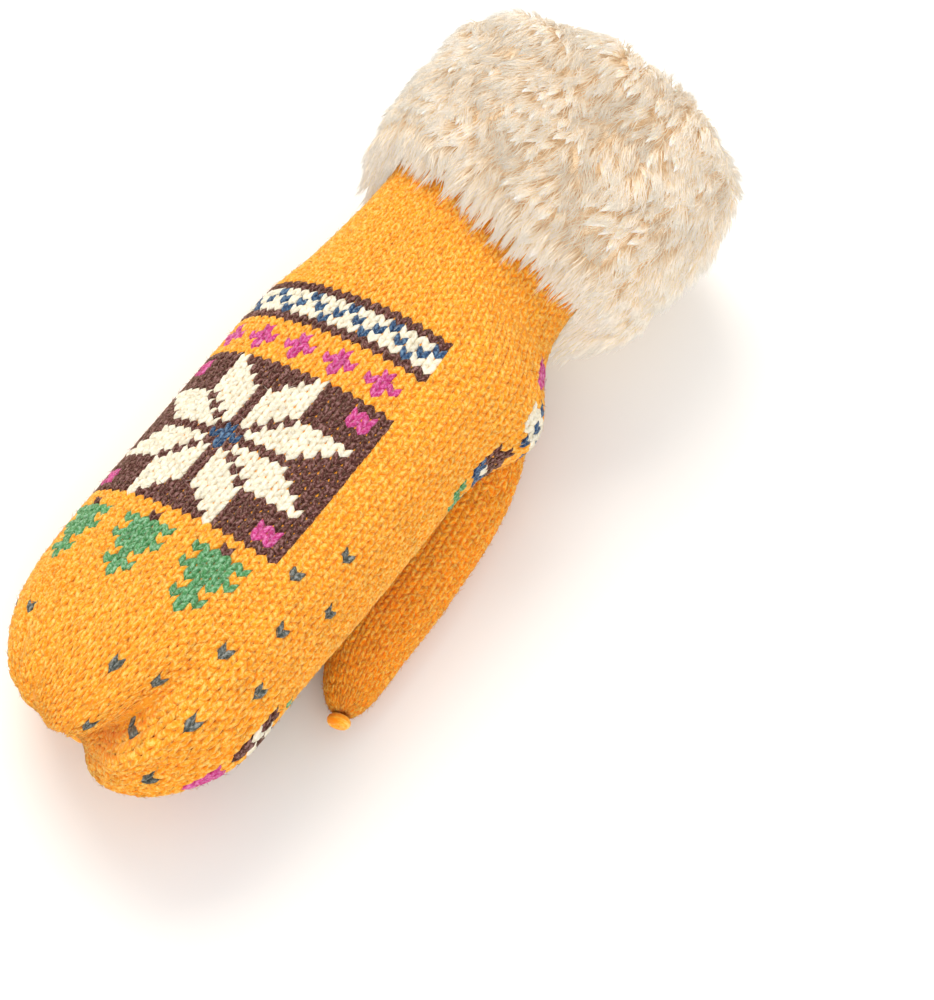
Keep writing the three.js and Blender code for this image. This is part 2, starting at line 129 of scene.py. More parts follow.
# along, half width, half depth, drop towards the palm, shift towards the thumb
HAND_COURSE = np.array(
    [
        (a * HAND_LENGTH, w * HAND_WIDTH / 2, d * HAND_DEPTH / 2, k * HAND_DEPTH, s * HAND_WIDTH)
        for a, w, d, k, s in [
            (0.04, 0.03, 0.03, 0.13, -0.07),
            (0.014, 0.14, 0.17, 0.13, -0.07),
            (0.0, 0.33, 0.4, 0.11, -0.06),
            (0.012, 0.57, 0.64, 0.08, -0.04),
            (0.06, 0.77, 0.82, 0.045, -0.015),
            (0.14, 0.91, 0.94, 0.015, 0.0),
            (0.25, 0.975, 0.99, 0.0, 0.0),
            (0.4, 1.0, 1.0, 0.0, 0.0),
        ]
    ]
    + [
        (
            a * HAND_LENGTH,
            (HAND_WIDTH + (WRIST_WIDTH - HAND_WIDTH) * n) / 2,
            (HAND_DEPTH + (WRIST_DEPTH - HAND_DEPTH) * n) / 2,
            0,
            0,
        )
        for a, n in [(0.56, 0.0), (0.7, 0.04), (0.79, 0.16), (0.87, 0.5), (0.94, 0.85)]
    ]
    + [
        (HAND_LENGTH, WRIST_WIDTH / 2, WRIST_DEPTH / 2, 0, 0),
        (HAND_LENGTH + KNIT_TUCK, WRIST_WIDTH / 2, WRIST_DEPTH / 2, 0, 0),
    ]
)

# How far a pleat stands out of the tip
PLEAT_HEIGHT = 2.2

# Where the soft knit sags outwards beside the tip's fold: turn, place, height, spread, reach
TIP_SWELLS = [(358, 0.15, 4.2, 24, 0.07), (332, 0.36, 2.4, 26, 0.06)]

# Folds of the gathered tip: turn, depth, spread in degrees, reach
TIP_FOLDS = [
    (38, 0.22, 10, 0.115),
    (84, 0.06, 10, 0.15),
    (118, 0.06, 10, 0.12),
    (158, 0.08, 12, 0.1),
    (204, 0.09, 12, 0.12),
    (246, 0.07, 11, 0.11),
    (290, 0.09, 12, 0.12),
    (332, 0.06, 9, 0.1),
    (4, 0.06, 8, 0.1),
]

# Soft dents of the sides, and swells where depth is below zero: turn, along, depth, spread, length
HAND_DENTS = [
    (40, 0.09, 0.09, 24, 0.08),
    (128, 0.86, 0.03, 26, 0.06),
    (18, 0.9, 0.05, 26, 0.05),
    (320, 0.81, -0.17, 36, 0.08),
]

THUMB_LINE = [
    (0.24 * HAND_WIDTH, 0.87 * HAND_LENGTH, 1.08 * THUMB_DEPTH),
    (0.355 * HAND_WIDTH, 0.79 * HAND_LENGTH, 0.85 * THUMB_DEPTH),
    (0.415 * HAND_WIDTH, 0.69 * HAND_LENGTH, 0.6 * THUMB_DEPTH),
    (0.445 * HAND_WIDTH, 0.56 * HAND_LENGTH, 0.47 * THUMB_DEPTH),
    (0.475 * HAND_WIDTH, 0.42 * HAND_LENGTH, 0.45 * THUMB_DEPTH),
    (0.55 * HAND_WIDTH, 0.3 * HAND_LENGTH, 0.41 * THUMB_DEPTH),
]

# place along the thumb, girth
THUMB_SECTIONS = np.array(
    [
        (0.0, 1.05),
        (0.25, 1.06),
        (0.45, 1.0),
        (0.65, 0.94),
        (0.8, 0.84),
        (0.89, 0.7),
        (0.96, 0.48),
        (0.995, 0.2),
        (0.985, 0.03),
    ]
)

# The cuff's outer face from its lower lip over the rolled rim: rise, stand
PILE_PROFILE = [
    (0.0, 0.03),
    (-0.05, 0.3),
    (-0.035, 0.68),
    (0.06, 0.93),
    (0.24, 1.04),
    (0.46, 1.08),
    (0.7, 1.08),
    (0.88, 0.98),
    (0.98, 0.7),
    (1.0, 0.3),
    (0.975, 0.0),
]

# The line that the pile hangs along, from the rim's middle down past the lip: rise, stand
# The part past the lip only gives the last locks a way to hang.
LIP_UNDERSIDE = 0.34
HANG_PROFILE = PILE_PROFILE[:2:-1] + [
    (-0.03, 0.78),
    (-0.12, 0.58),
    (-0.22, 0.36),
    (-LIP_UNDERSIDE, 0.14),
]


def column(values, place):
    """A table's column at places between its rows, 0 at the first row and 1 at the last."""
    last = len(values) - 1
    at = np.clip(place, 0, 1) * last
    i = np.minimum(np.floor(at).astype(int), last - 1)
    f = at - i
    a, b = values[np.maximum(i - 1, 0)], values[i]
    c, d = values[i + 1], values[np.minimum(i + 2, last)]
    return b + 0.5 * f * (c - a + f * (2 * a - 5 * b + 4 * c - d + f * (3 * (b - c) + d - a)))


def smooth_line(points, steps=24):
    """A fine line through points, and the distance of each of its points from the start."""
    points = np.asarray(points, float)
    ends = np.vstack([2 * points[0] - points[1], points, 2 * points[-1] - points[-2]])
    gaps = np.linalg.norm(np.diff(ends, axis=0), axis=1) ** 0.5
    f = np.linspace(0, 1, steps, endpoint=False)[:, None]
    made = []
    for i in range(len(points) - 1):
        p0, p1, p2, p3 = ends[i : i + 4]
        g0, g1, g2 = gaps[i : i + 3]
        t1 = ((p1 - p0) / g0 - (p2 - p0) / (g0 + g1) + (p2 - p1) / g1) * g1
        t2 = ((p2 - p1) / g1 - (p3 - p1) / (g1 + g2) + (p3 - p2) / g2) * g1
        rest = f**2 * (3 * (p2 - p1) - 2 * t1 - t2) + f**3 * (2 * (p1 - p2) + t1 + t2)
        made.append(p1 + f * t1 + rest)
    line = np.vstack(made + [points[-1:]])
    steps_long = np.linalg.norm(np.diff(line, axis=0), axis=1)
    return line, np.concatenate([[0], np.cumsum(steps_long)])


def on_line(line, far):
    """Points of a line at distances from its start."""
    points, distances = line
    return np.stack([np.interp(far, distances, points[:, k]) for k in range(points.shape[1])], -1)


def smoothstep(value, low, high):
    """0 under low, 1 over high and a soft step between them."""
    t = np.clip((value - low) / (high - low), 0, 1)
    return t * t * (3 - 2 * t)


def turn_from(turn, other):
    """The difference of two turns in degrees, from -180 to 180."""
    return (turn - other + 180) % 360 - 180


def reach_below(half_width, half_depth):
    """How far a leaning section reaches below its own middle."""
    return math.hypot(half_width * math.sin(HAND_LEAN), half_depth * math.cos(HAND_LEAN))


PALM_HEIGHT = reach_below(HAND_WIDTH / 2, HAND_DEPTH / 2) - PALM_PRESS
CUFF_MIDDLE_HEIGHT = (
    reach_below(WRIST_WIDTH / 2 + PILE_DEPTH, WRIST_DEPTH / 2 + PILE_DEPTH) - CUFF_PRESS
)


def middle_height(along):
    """The height of the hand's middle over the surface that it lies on."""
    rise = smoothstep(along, 0.4 * HAND_LENGTH, HAND_LENGTH + CUFF_HEIGHT / 3)
    return PALM_HEIGHT + (CUFF_MIDDLE_HEIGHT - PALM_HEIGHT) * rise


def drawn_in(turn, along, girth):
    """How deep the folds and dents press the hand in at one place."""
    degrees = np.degrees(turn)
    depth = 0
    for at, deep, spread, reach in TIP_FOLDS:
        off = turn_from(degrees, at) * girth / spread
        far = along / (reach * HAND_LENGTH)
        depth = depth + deep * np.exp(-off * off - far * far)
    for at, where, deep, spread, length in HAND_DENTS:
        off = turn_from(degrees, at) / spread
        far = (along / HAND_LENGTH - where) / length
        depth = depth + deep * np.exp(-off * off - far * far)
    return HAND_DEPTH * depth * smoothstep(girth, 0.08, 0.5)


def hand_point(place, turn, inset):
    """Points of the hand's surface, sunk into the wall by inset, in millimetres."""
    place, turn, inset = np.broadcast_arrays(
        np.asarray(place, float), np.asarray(turn, float), np.asarray(inset, float)
    )
    low, high = np.maximum(place - 0.004, 0), np.minimum(place + 0.004, 1)
    middle = [column(HAND_COURSE[:, k], place) for k in range(5)]
    step = [column(HAND_COURSE[:, k], high) - column(HAND_COURSE[:, k], low) for k in range(3)]
    run, rise = step[0], (step[1] + step[2]) / 2
    length = np.hypot(run, rise)
    along = middle[0] + inset * rise / length
    width = middle[1] - inset * run / length
    depth = middle[2] - inset * run / length
    press = drawn_in(turn, middle[0], middle[1] / (HAND_WIDTH / 2))
    power = 2 / SECTION_POWER
    c, s = np.cos(turn), np.sin(turn)
    c, s = np.sign(c) * np.abs(c) ** power, np.sign(s) * np.abs(s) ** power
    reach = np.maximum(0.35 * HAND_LENGTH - along, 0)
    towards = np.stack([-c * width, reach, -s * depth], -1)
    towards *= (press / np.maximum(np.linalg.norm(towards, axis=-1), 1e-9))[..., None]
    up = s * depth + towards[..., 2] - middle[3]
    across = c * width + towards[..., 0] + middle[4]
    tilted = 1 - smoothstep(along, 0, 0.25 * HAND_LENGTH)
    back = -(up * math.tan(TIP_TILT) + across * math.tan(TIP_SLANT)) * tilted
    along = along + towards[..., 1] + back
    cos, sin = math.cos(HAND_LEAN), math.sin(HAND_LEAN)
    z = across * sin + up * cos + middle_height(along)
    return np.stack([across * cos - up * sin, along, np.maximum(z, inset)], -1)


THUMB_MIDDLE = smooth_line(THUMB_LINE)


def pleated_point(place, turn, inset):
    """Points of the hand with the soft pleats that fan out from its gathered tip."""
    fade = smoothstep(place, 0.07, 0.14) * (1 - smoothstep(place, 0.16, 0.46))
    ridge = np.abs(np.cos(7 * turn + 0.6 * np.sin(3 * turn))) ** 0.8
    swell = 0
    for middle, at, high, spread, reach in TIP_SWELLS:
        off = turn_from(np.degrees(turn), middle) / spread
        swell = swell + high * np.exp(-off * off - ((place - at) / reach) ** 2)
    return hand_point(place, turn, inset - swell - PLEAT_HEIGHT * fade * (ridge - 0.45))


def thumb_point(place, turn, inset):
    """Points of the thumb's surface, sunk into the wall by inset, in millimetres."""
    place, turn, inset = np.broadcast_arrays(
        np.asarray(place, float), np.asarray(turn, float), np.asarray(inset, float)
    )
    low, high = np.maximum(place - 0.01, 0), np.minimum(place + 0.01, 1)
    run = (column(THUMB_SECTIONS[:, 0], high) - column(THUMB_SECTIONS[:, 0], low)) * THUMB_LENGTH
    rise = column(THUMB_SECTIONS[:, 1], high) - column(THUMB_SECTIONS[:, 1], low)
    rise = rise * (THUMB_WIDTH + THUMB_DEPTH) / 4
    length = np.hypot(run, rise)
    girth = column(THUMB_SECTIONS[:, 1], place)
    far = column(THUMB_SECTIONS[:, 0], place) * THUMB_LENGTH + inset * rise / length
    sink = inset * run / length
    step = 0.01 * THUMB_LENGTH
    tangent = on_line(THUMB_MIDDLE, far + step) - on_line(THUMB_MIDDLE, far - step)
    tangent /= np.linalg.norm(tangent, axis=-1)[..., None]
    side = np.cross(tangent, [0, 0, 1])
    side /= np.linalg.norm(side, axis=-1)[..., None]
    up = np.cross(side, tangent)
    point = on_line(THUMB_MIDDLE, far)
    point = point + side * ((girth * THUMB_WIDTH / 2 - sink) * np.cos(turn))[..., None]
    point = point + up * ((girth * THUMB_DEPTH / 2 - sink) * np.sin(turn))[..., None]
    point[..., 2] = np.maximum(point[..., 2], inset)
    return point


def fullness(turn):
    """How full the pile is round the cuff."""
    return 1 + 0.2 * np.cos(turn - LOOSE_TURN) + 0.035 * np.sin(3 * turn + 1)


def lip_draw(turn):
    """How far the cuff's lower lip is drawn up, as a share of its height."""
    off = turn - LOOSE_TURN
    return 0.07 * (1 + np.cos(2 * off)) + 0.1 * np.maximum(-np.cos(off), 0)


def crease(turn, rise):
    """The crease across the bent cuff's upper side, in millimetres."""
    off = turn_from(np.degrees(turn), CREASE_TURN) / CREASE_SPREAD
    far = (rise / CUFF_HEIGHT - CREASE_RISE) / CREASE_LENGTH
    return CREASE_DEPTH * PILE_DEPTH * np.exp(-off * off - far * far)


# Places of the hand from its straight part up, by their distance along it
FIRST_PLACE = 8 / (len(HAND_COURSE) - 1)
PLACES = np.linspace(FIRST_PLACE, 1, 400)
PLACES_ALONG = column(HAND_COURSE[:, 0], PLACES)


def cuff_point(rise, stand, turn):
    """Points of the cuff: rise over its lower lip and stand out from the knit."""
    rise, stand, turn = np.broadcast_arrays(rise, stand, turn)
    place = np.interp(HAND_LENGTH + np.minimum(rise, KNIT_TUCK), PLACES_ALONG, PLACES)
    point = hand_point(place, turn, -stand)
    point[..., 1] += np.maximum(rise - KNIT_TUCK, 0)
    point[..., 2] = np.maximum(point[..., 2], 0)
    return point


def scaled_profile(rows):
    """A smooth line in millimetres through a profile of shares."""
    return smooth_line([(rise * CUFF_HEIGHT, stand * PILE_DEPTH) for rise, stand in rows])


PILE_LINE = scaled_profile(PILE_PROFILE)
HANG_LINE = scaled_profile(HANG_PROFILE)


def pile_point(line, outward, far, turn, proud):
    """Points on the pile at a distance along a line of its profile, proud of it."""
    ahead = on_line(line, far + 0.5) - on_line(line, far - 0.5)
    ahead = outward * ahead / np.maximum(np.linalg.norm(ahead, axis=-1), 1e-9)[..., None]
    at = on_line(line, far)
    stand = (at[..., 1] + proud * ahead[..., 0]) * fullness(turn) - crease(turn, at[..., 0])
    drawn = lip_draw(turn) * (CUFF_HEIGHT - at[..., 0])
    return cuff_point(at[..., 0] - proud * ahead[..., 1] + drawn, np.maximum(stand, 0.3), turn)


# The rows' frame stands under the middle of the model's box, and the hand's at its tip.
LOWEST = hand_point(
    np.linspace(0, 1, 26)[:, None], np.linspace(0, TAU, 40, endpoint=False)[None], 0
).min(axis=(0, 1))
SHIFT = np.array(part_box("hand")[0]) / MM - LOWEST


def placed(points):
    """Points of the hand's frame in millimetres, as metres in the row's frame."""
    return (np.asarray(points) + SHIFT) * MM


# The knitter's charts. One letter is one stitch: . ground, b brown, c cream, n navy, g green,
# m magenta, s slate.

# The left half of the motif on the back of the hand with its middle wale, from the cuff down
MOTIF = """
bbbbbbbbbbb
ncccncccncc
cncncncncnc
ccncccncccn
bbbbbbbbbbb
...........
..m...m...m
.mmm.mmm.mm
..m...m...m
...........
bbbbbbcbbbb
bmmbbbccbbb
bmmbbbcccbb
bbbbbbccccb
bbbbbbccccb
bcccccbcccb
bbcccccbccb
bbbcccccbcb
bbbbcccccbn
bbbbbbbbbnn
bbbbcccccbn
bbbcccccbcb
bbcccccbccb
bcccccbcccb
bbbbbbccccb
bbbbbbccccb
bmmbbbcccbb
bmmbbbccbbb
bbbbbbcbbbb
...........
...b......b
.ggggg..ggg
..ggg....gg
.ggggg..ggg
..ggg....gg
...g......g
..ggg....gg
...g......g
""".split()

# The palm's bands, a repeat of four wales, from the tip up
PALM = """
bbbb
.bbb
..b.
....
n.n.
cccc
ncnc
cccc
n.n.
....
mm.m
mmmm
m.mm
....
bb.b
bccb
cbbc
bccb
bb.b
....
g.g.
gggg
.g.g
....
nnnn
cncn
""".split()


# The wales that the palm's bands cover in some courses, and the fewer ones in all others
PALM_WALES = range(34, 60)
WIDE_PALM_COURSES = (*range(21), *range(46, 66))
NARROW_PALM_WALES = range(34, 57)

# Single slate stitches between the tip and the motif
DOT_COURSES = range(8, 34, 5)
DOT_EVERY = 4


def hand_chart(courses, wales, first_course):
    """The letters of all stitches of the hand, by course and wale."""
    chart = np.full((courses, wales), ".")
    middle = wales // 4 + 1
    top = first_course + len(MOTIF) - 1
    for row, half in enumerate(MOTIF):
        for k, letter in enumerate(half + half[-2::-1]):
            chart[top - row, middle - len(half) + 1 + k] = letter
    for k, course in enumerate(DOT_COURSES):
        kept_free = len(MOTIF[0]) if course >= first_course - 1 else 5
        for wale in range(DOT_EVERY // 2 * (k % 2), PALM_WALES[0] - 1, DOT_EVERY):
            if abs(wale - middle) > kept_free:
                chart[course, wale] = "s"
    for course in range(9, courses):
        row = PALM[course % len(PALM)]
        for wale in PALM_WALES if course in WIDE_PALM_COURSES else NARROW_PALM_WALES:
            chart[course, wale] = row[wale % 4]
    return chart


def linear(hex_colour):
    """An sRGB hex colour as linear red, green, blue and alpha."""
    parts = [int(hex_colour[i : i + 2], 16) / 255 for i in (1, 3, 5)]
    return tuple(p / 12.92 if p <= 0.04045 else ((p + 0.055) / 1.055) ** 2.4 for p in parts) + (1,)


def node(tree, kind, values=None, links=None, **settings):
    """A node with its settings, its sockets' values and what feeds them."""
    made = tree.nodes.new(kind)
    for name, value in settings.items():
        setattr(made, name, value)
    for name, value in (values or {}).items():
        made.inputs[name].default_value = value
    for name, source in (links or {}).items():
        tree.links.new(source, made.inputs[name])
    return made


def new_material(name):
    """An empty node material and its tree."""
    made = bpy.data.materials.new(name)
    made.use_nodes = True
    made.node_tree.nodes.clear()
    return made, made.node_tree


def finish_material(tree, values, links):
    """The surface shader at the end of a material."""
    shader = node(tree, "ShaderNodeBsdfPrincipled", values, links)
    node(tree, "ShaderNodeOutputMaterial", links={"Surface": shader.outputs[0]})


def deselect():
    """Nothing selected, and no mesh in edit mode."""
    if bpy.context.object and bpy.context.object.mode != "OBJECT":
        bpy.ops.object.mode_set(mode="OBJECT")
    bpy.ops.object.select_all(action="DESELECT")


def take_points(obj):
    """A mesh's points and triangles as arrays."""
    points = np.empty(len(obj.data.vertices) * 3)
    obj.data.vertices.foreach_get("co", points)
    obj.data.calc_loop_triangles()
    triangles = np.empty(len(obj.data.loop_triangles) * 3, int)
    obj.data.loop_triangles.foreach_get("vertices", triangles)
    return points.reshape(-1, 3), triangles.reshape(-1, 3)


def joined(name, points, triangles, colours=None, lengthways=None):
    """One smooth mesh object from arrays, with a colour for each point and a pattern's own map."""
    mesh = bpy.data.meshes.new(name)
    mesh.vertices.add(len(points))
    mesh.vertices.foreach_set("co", np.ascontiguousarray(points, np.float32).ravel())
    mesh.loops.add(triangles.size)
    mesh.loops.foreach_set("vertex_index", triangles.astype(np.int32).ravel())
    mesh.polygons.add(len(triangles))
    mesh.polygons.foreach_set("loop_start", np.arange(0, triangles.size, 3, dtype=np.int32))
    mesh.polygons.foreach_set("use_smooth", np.ones(len(triangles), bool))
    mesh.update(calc_edges=True)
    if colours is not None:
        layer = mesh.color_attributes.new("yarn", "FLOAT_COLOR", "POINT")
        full = np.ones((len(points), 4), np.float32)
        full[:, :3] = colours
        layer.data.foreach_set("color", full.ravel())
    if lengthways is not None:
        layer = mesh.uv_layers.new(name="run")
        layer.data.foreach_set("uv", lengthways[triangles.ravel()].astype(np.float32).ravel())
    made = bpy.data.objects.new(name, mesh)
    bpy.context.scene.collection.objects.link(made)
    return made


def declare(obj, material, slot, *nodes):
    """Gives a piece its material, puts it under its body and hides the solids that it stands for.
    The slot is not used.
    """
    obj.data.materials.clear()
    obj.data.materials.append(material)
    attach(obj, "root")
    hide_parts(*nodes)


def copies(points, triangles, count):
    """Triangles of many copies of one prototype, whose points follow one another."""
    return (triangles[None] + len(points) * np.arange(count)[:, None, None]).reshape(-1, 3)


# The thumb's yarn is painted a little deeper in colour than the hand's: painted shade for the thumb
# that lies low beside and under the hand.
THUMB_PAINTED_SHADE = 1.18

# The yarns, by the charts' letters
YARN_HEX = {
    ".": "#F9A832",
    "b": "#5A3330",
    "c": "#F0E8D2",
    "n": "#2F4F74",
    "g": "#5C9A68",
    "m": "#C8488C",
    "s": "#5C625F",
}


def streaked(tree, stretch, low, high):
    """Fine streaks along a strand, from its own map, as height and as a tone."""
    run = node(tree, "ShaderNodeUVMap", uv_map="run")
    drawn = node(tree, "ShaderNodeMapping", {"Scale": stretch}, {"Vector": run.outputs[0]})
    streaks = node(
        tree,
        "ShaderNodeTexNoise",
        {"Scale": 1.6, "Detail": 3.0, "Roughness": 0.6},
        {"Vector": drawn.outputs[0]},
    )
    tone = node(
        tree,
        "ShaderNodeMapRange",
        {"From Min": 0.3, "From Max": 0.7, "To Min": low, "To Max": high},
        {"Value": streaks.outputs["Fac"]},
    )
    return streaks.outputs["Fac"], tone.outputs[0]


def two_tones(tree, value, low, high):
    """The colour that runs between two, each given with the value where it starts."""
    ramp = node(tree, "ShaderNodeValToRGB", links={"Fac": value})
    for element, (position, colour) in zip(ramp.color_ramp.elements, (low, high)):
        element.color = linear(colour)
        element.position = position
    return ramp.outputs[0]


def wool_yarn(name, tint):
    """Worsted wool, spun from loose fibres: matt and heathered, with fine fibres that run along
    each leg of a stitch and stand off it a little."""
    made, tree = new_material(name)
    colour = node(tree, "ShaderNodeVertexColor", layer_name="yarn").outputs[0]
    height, tone = streaked(tree, (1.6, 3.4, 1.0), 0.0, 1.0)
    place = node(tree, "ShaderNodeTexCoord")
    fibres = node(
        tree,
        "ShaderNodeTexNoise",
        {"Scale": 1 / (1.0 * MM), "Detail": 3.0, "Roughness": 0.7},
        {"Vector": place.outputs["Object"]},
    ).outputs["Fac"]
    both = node(tree, "ShaderNodeMath", links={0: tone, 1: fibres}, operation="ADD")
    heather = node(
        tree,
        "ShaderNodeMapRange",
        {"From Min": 0.72, "From Max": 1.3, "To Min": 1.5, "To Max": 0.62},
        {"Value": both.outputs[0]},
    )
    toned = node(tree, "ShaderNodeVectorMath", {1: tint}, {0: colour}, operation="MULTIPLY")
    shaded = node(
        tree,
        "ShaderNodeGamma",
        links={"Color": toned.outputs[0], "Gamma": heather.outputs[0]},
    )
    relief = {"Strength": 1.0, "Distance": 0.5 * MM}
    spun = node(tree, "ShaderNodeBump", relief, {"Height": height})
    fuzz = node(tree, "ShaderNodeBump", relief, {"Height": fibres, "Normal": spun.outputs[0]})
    finish_material(
        tree,
        {
            "Roughness": 0.95,
            "Specular IOR Level": 0.1,
            "Sheen Weight": 0.3,
            "Sheen Roughness": 0.5,
            "Sheen Tint": (1.0, 0.8, 0.5, 1.0),
        },
        {"Base Color": shaded.outputs[0], "Normal": fuzz.outputs[0]},
    )
    return made


def knitted_wall(name, low, high):
    """The knit's reverse side, and the ground that fills in between its stitches: orange wool,
    painted in part a deeper orange than the yarn as painted shade between the stitches, with rows of
    purl bumps, one to a course, that show inside the hollow."""
    made, tree = new_material(name)
    place = node(tree, "ShaderNodeTexCoord").outputs["Object"]
    rows = node(
        tree,
        "ShaderNodeTexWave",
        {
            "Scale": TAU / 20 / (COURSE_HEIGHT * MM),
            "Distortion": 1.2,
            "Detail": 2.0,
            "Detail Scale": 3.0,
        },
        {"Vector": place},
        wave_type="BANDS",
        bands_direction="Y",
    )
    noise = {"Scale": 1 / (0.8 * MM), "Detail": 3.0}
    fibres = node(tree, "ShaderNodeTexNoise", noise, {"Vector": place})
    tones = two_tones(tree, fibres.outputs["Fac"], (0.3, low), (0.7, high))
    bumps = node(
        tree,
        "ShaderNodeBump",
        {"Strength": 0.7, "Distance": 0.6 * MM},
        {"Height": rows.outputs["Fac"]},
    )
    finish_material(
        tree,
        {"Roughness": 0.95, "Specular IOR Level": 0.15, "Sheen Weight": 0.2},
        {"Base Color": tones, "Normal": bumps.outputs[0]},
    )
    return made


def plush_fibre(name, softness, glow):
    """Long polyester pile, brushed into soft locks: cream, with painted shade that turns it tan
    towards the roots and a painted highlight that turns it paler at the tips, and fine streaks along
    each lock. Light passes into the locks, and thin fibres hand light on to one another: the glow
    stands for that, so that the pile looks deep and soft."""
    made, tree = new_material(name)
    colour = node(tree, "ShaderNodeVertexColor", layer_name="yarn").outputs[0]
    height, tone = streaked(tree, (1.2, 9.0, 1.0), 0.86, 1.08)
    scaled = {0: colour, "Scale": tone}
    shaded = node(tree, "ShaderNodeVectorMath", links=scaled, operation="SCALE").outputs[0]
    relief = {"Strength": 1.0, "Distance": 0.5 * MM}
    ridges = node(tree, "ShaderNodeBump", relief, {"Height": height})
    finish_material(
        tree,
        {
            "Roughness": 0.8,
            "Specular IOR Level": 0.1,
            "Subsurface Weight": softness,
            "Subsurface Radius": (1.0, 0.8, 0.6),
            "Subsurface Scale": 1.5 * MM,
            "Emission Strength": glow,
        },
        {"Base Color": shaded, "Emission Color": shaded, "Normal": ridges.outputs[0]},
    )
    return made


def plush_backing(name):
    """The knitted backing of the plush: tufted, and pale tan as painted shade, so that what shows of
    it between the locks looks like deeper pile in shade."""
    made, tree = new_material(name)
    place = node(tree, "ShaderNodeTexCoord")
    tufts = node(
        tree,
        "ShaderNodeTexNoise",
        {"Scale": 1 / (2.2 * MM), "Detail": 4.0, "Roughness": 0.7},
        {"Vector": place.outputs["Object"]},
    ).outputs["Fac"]
    # Painted shade: the backing's tan stands for the shade deep in the pile.
    tones = two_tones(tree, tufts, (0.35, "#E6C498"), (0.65, "#F8E2C4"))
    relief = {"Strength": 1.0, "Distance": 1.2 * MM}
    bumps = node(tree, "ShaderNodeBump", relief, {"Height": tufts})
    finish_material(
        tree,
        {"Roughness": 0.95, "Specular IOR Level": 0.1, "Sheen Weight": 0.3},
        {"Base Color": tones, "Normal": bumps.outputs[0]},
    )
    return made


def painted_board(name, colour):
    """Board painted matt for the floor: an even pale ground with the roller's fine grain."""
    made, tree = new_material(name)
    place = node(tree, "ShaderNodeTexCoord")
    noise = {"Scale": 1 / (2.5 * MM), "Detail": 2.0}
    grain = node(tree, "ShaderNodeTexNoise", noise, {"Vector": place.outputs["Object"]})
    relief = {"Strength": 0.05, "Distance": 0.1 * MM}
    bump = node(tree, "ShaderNodeBump", relief, {"Height": grain.outputs["Fac"]})
    finish_material(
        tree,
        {"Base Color": colour, "Roughness": 0.8, "Specular IOR Level": 0.2},
        {"Normal": bump.outputs[0]},
    )
    return made


def material(name, maker, *settings):
    """A material, made the first time that it is asked for."""
    return bpy.data.materials.get(name) or maker(name, *settings)


class MittenKnitSettings(bpy.types.PropertyGroup):
    """Sizes of the knit's stitches."""

    wales: bpy.props.IntProperty(
        name="Wales", description="Stitches round the hand", default=62, min=20
    )
    thumb_wales: bpy.props.IntProperty(
        name="Thumb wales", description="Stitches round the thumb", default=20, min=8
    )
    course: bpy.props.FloatProperty(
        name="Course", description="Height of a stitch", default=COURSE_HEIGHT * MM,
        unit="LENGTH",
    )
    relief: bpy.props.FloatProperty(
        name="Relief", description="Depth of a leg of yarn", default=1.6 * MM, unit="LENGTH"
    )
    first_motif_course: bpy.props.IntProperty(
        name="Motif starts", description="Course from the tip where the motif starts", default=19
    )
    ground: bpy.props.FloatVectorProperty(
        name="Ground",
        description="Colour of the ground yarn",
        subtype="COLOR",
        size=4,
        default=linear(YARN_HEX["."]),
    )


class MittenPlushSettings(bpy.types.PropertyGroup):
    """Sizes and colours of the cuff's pile."""

    fibre_length: bpy.props.FloatProperty(
        name="Fibre length", description="Length of a lying fibre", default=9.5 * MM, unit="LENGTH"
    )
    fibre_width: bpy.props.FloatProperty(
        name="Fibre width", description="Width of a bundle of fibres", default=0.38 * MM,
        unit="LENGTH",
    )
    locks: bpy.props.IntProperty(
        name="Locks", description="Locks on the outside of the cuff", default=1750
    )
    fibres_in_lock: bpy.props.IntProperty(
        name="Fibres", description="Bundles of fibres in a lock", default=20
    )
    # Painted shade and highlight: the roots' tan stands for the shade deep in the pile, the tips'
    # near white for the light on them.
    root: bpy.props.FloatVectorProperty(
        name="Roots", description="Colour at the roots", subtype="COLOR", size=4,
        default=linear("#E0BE92"),
    )
    tip: bpy.props.FloatVectorProperty(
        name="Tips", description="Colour at the tips", subtype="COLOR", size=4,
        default=linear("#FFFAEE"),
    )


class MittenStageSettings(bpy.types.PropertyGroup):
    """Floor, lights and camera."""

    floor: bpy.props.FloatVectorProperty(
        name="Floor", description="Colour of the floor", subtype="COLOR", size=4,
        default=linear("#F4F3F1"),
    )
    lens: bpy.props.FloatProperty(name="Lens", description="Focal length in mm", default=135.0)
    pan: bpy.props.FloatProperty(
        name="Pan", description="Degrees that the camera turns right of the hand", default=2.98
    )


def wale_turns(half_width, half_depth, power):
    """Turns at equal distances round a section, as a table of turn by distance."""
    turns = np.linspace(0, TAU, 2001)
    c, s = np.cos(turns), np.sin(turns)
    x = np.sign(c) * np.abs(c) ** (2 / power) * half_width
    y = np.sign(s) * np.abs(s) ** (2 / power) * half_depth
    far = np.concatenate([[0], np.cumsum(np.hypot(np.diff(x), np.diff(y)))])
    return turns, far / far[-1]


def spindle_prototype(rings):
    """A plump spindle with five sides, from a ball: the stations of its points along it, their
    angles round it, and its triangles."""
    deselect()
    bpy.ops.mesh.primitive_uv_sphere_add(segments=5, ring_count=rings, radius=1)
    spindle = bpy.context.object
    bpy.ops.object.mode_set(mode="EDIT")
    bpy.ops.mesh.select_all(action="SELECT")
    bpy.ops.mesh.quads_convert_to_tris()
    bpy.ops.object.mode_set(mode="OBJECT")
    points, triangles = take_points(spindle)
    bpy.data.objects.remove(spindle)
    stations = np.round((1 - points[:, 2]) / 2, 6)
    return stations, np.arctan2(points[:, 1], points[:, 0]), triangles


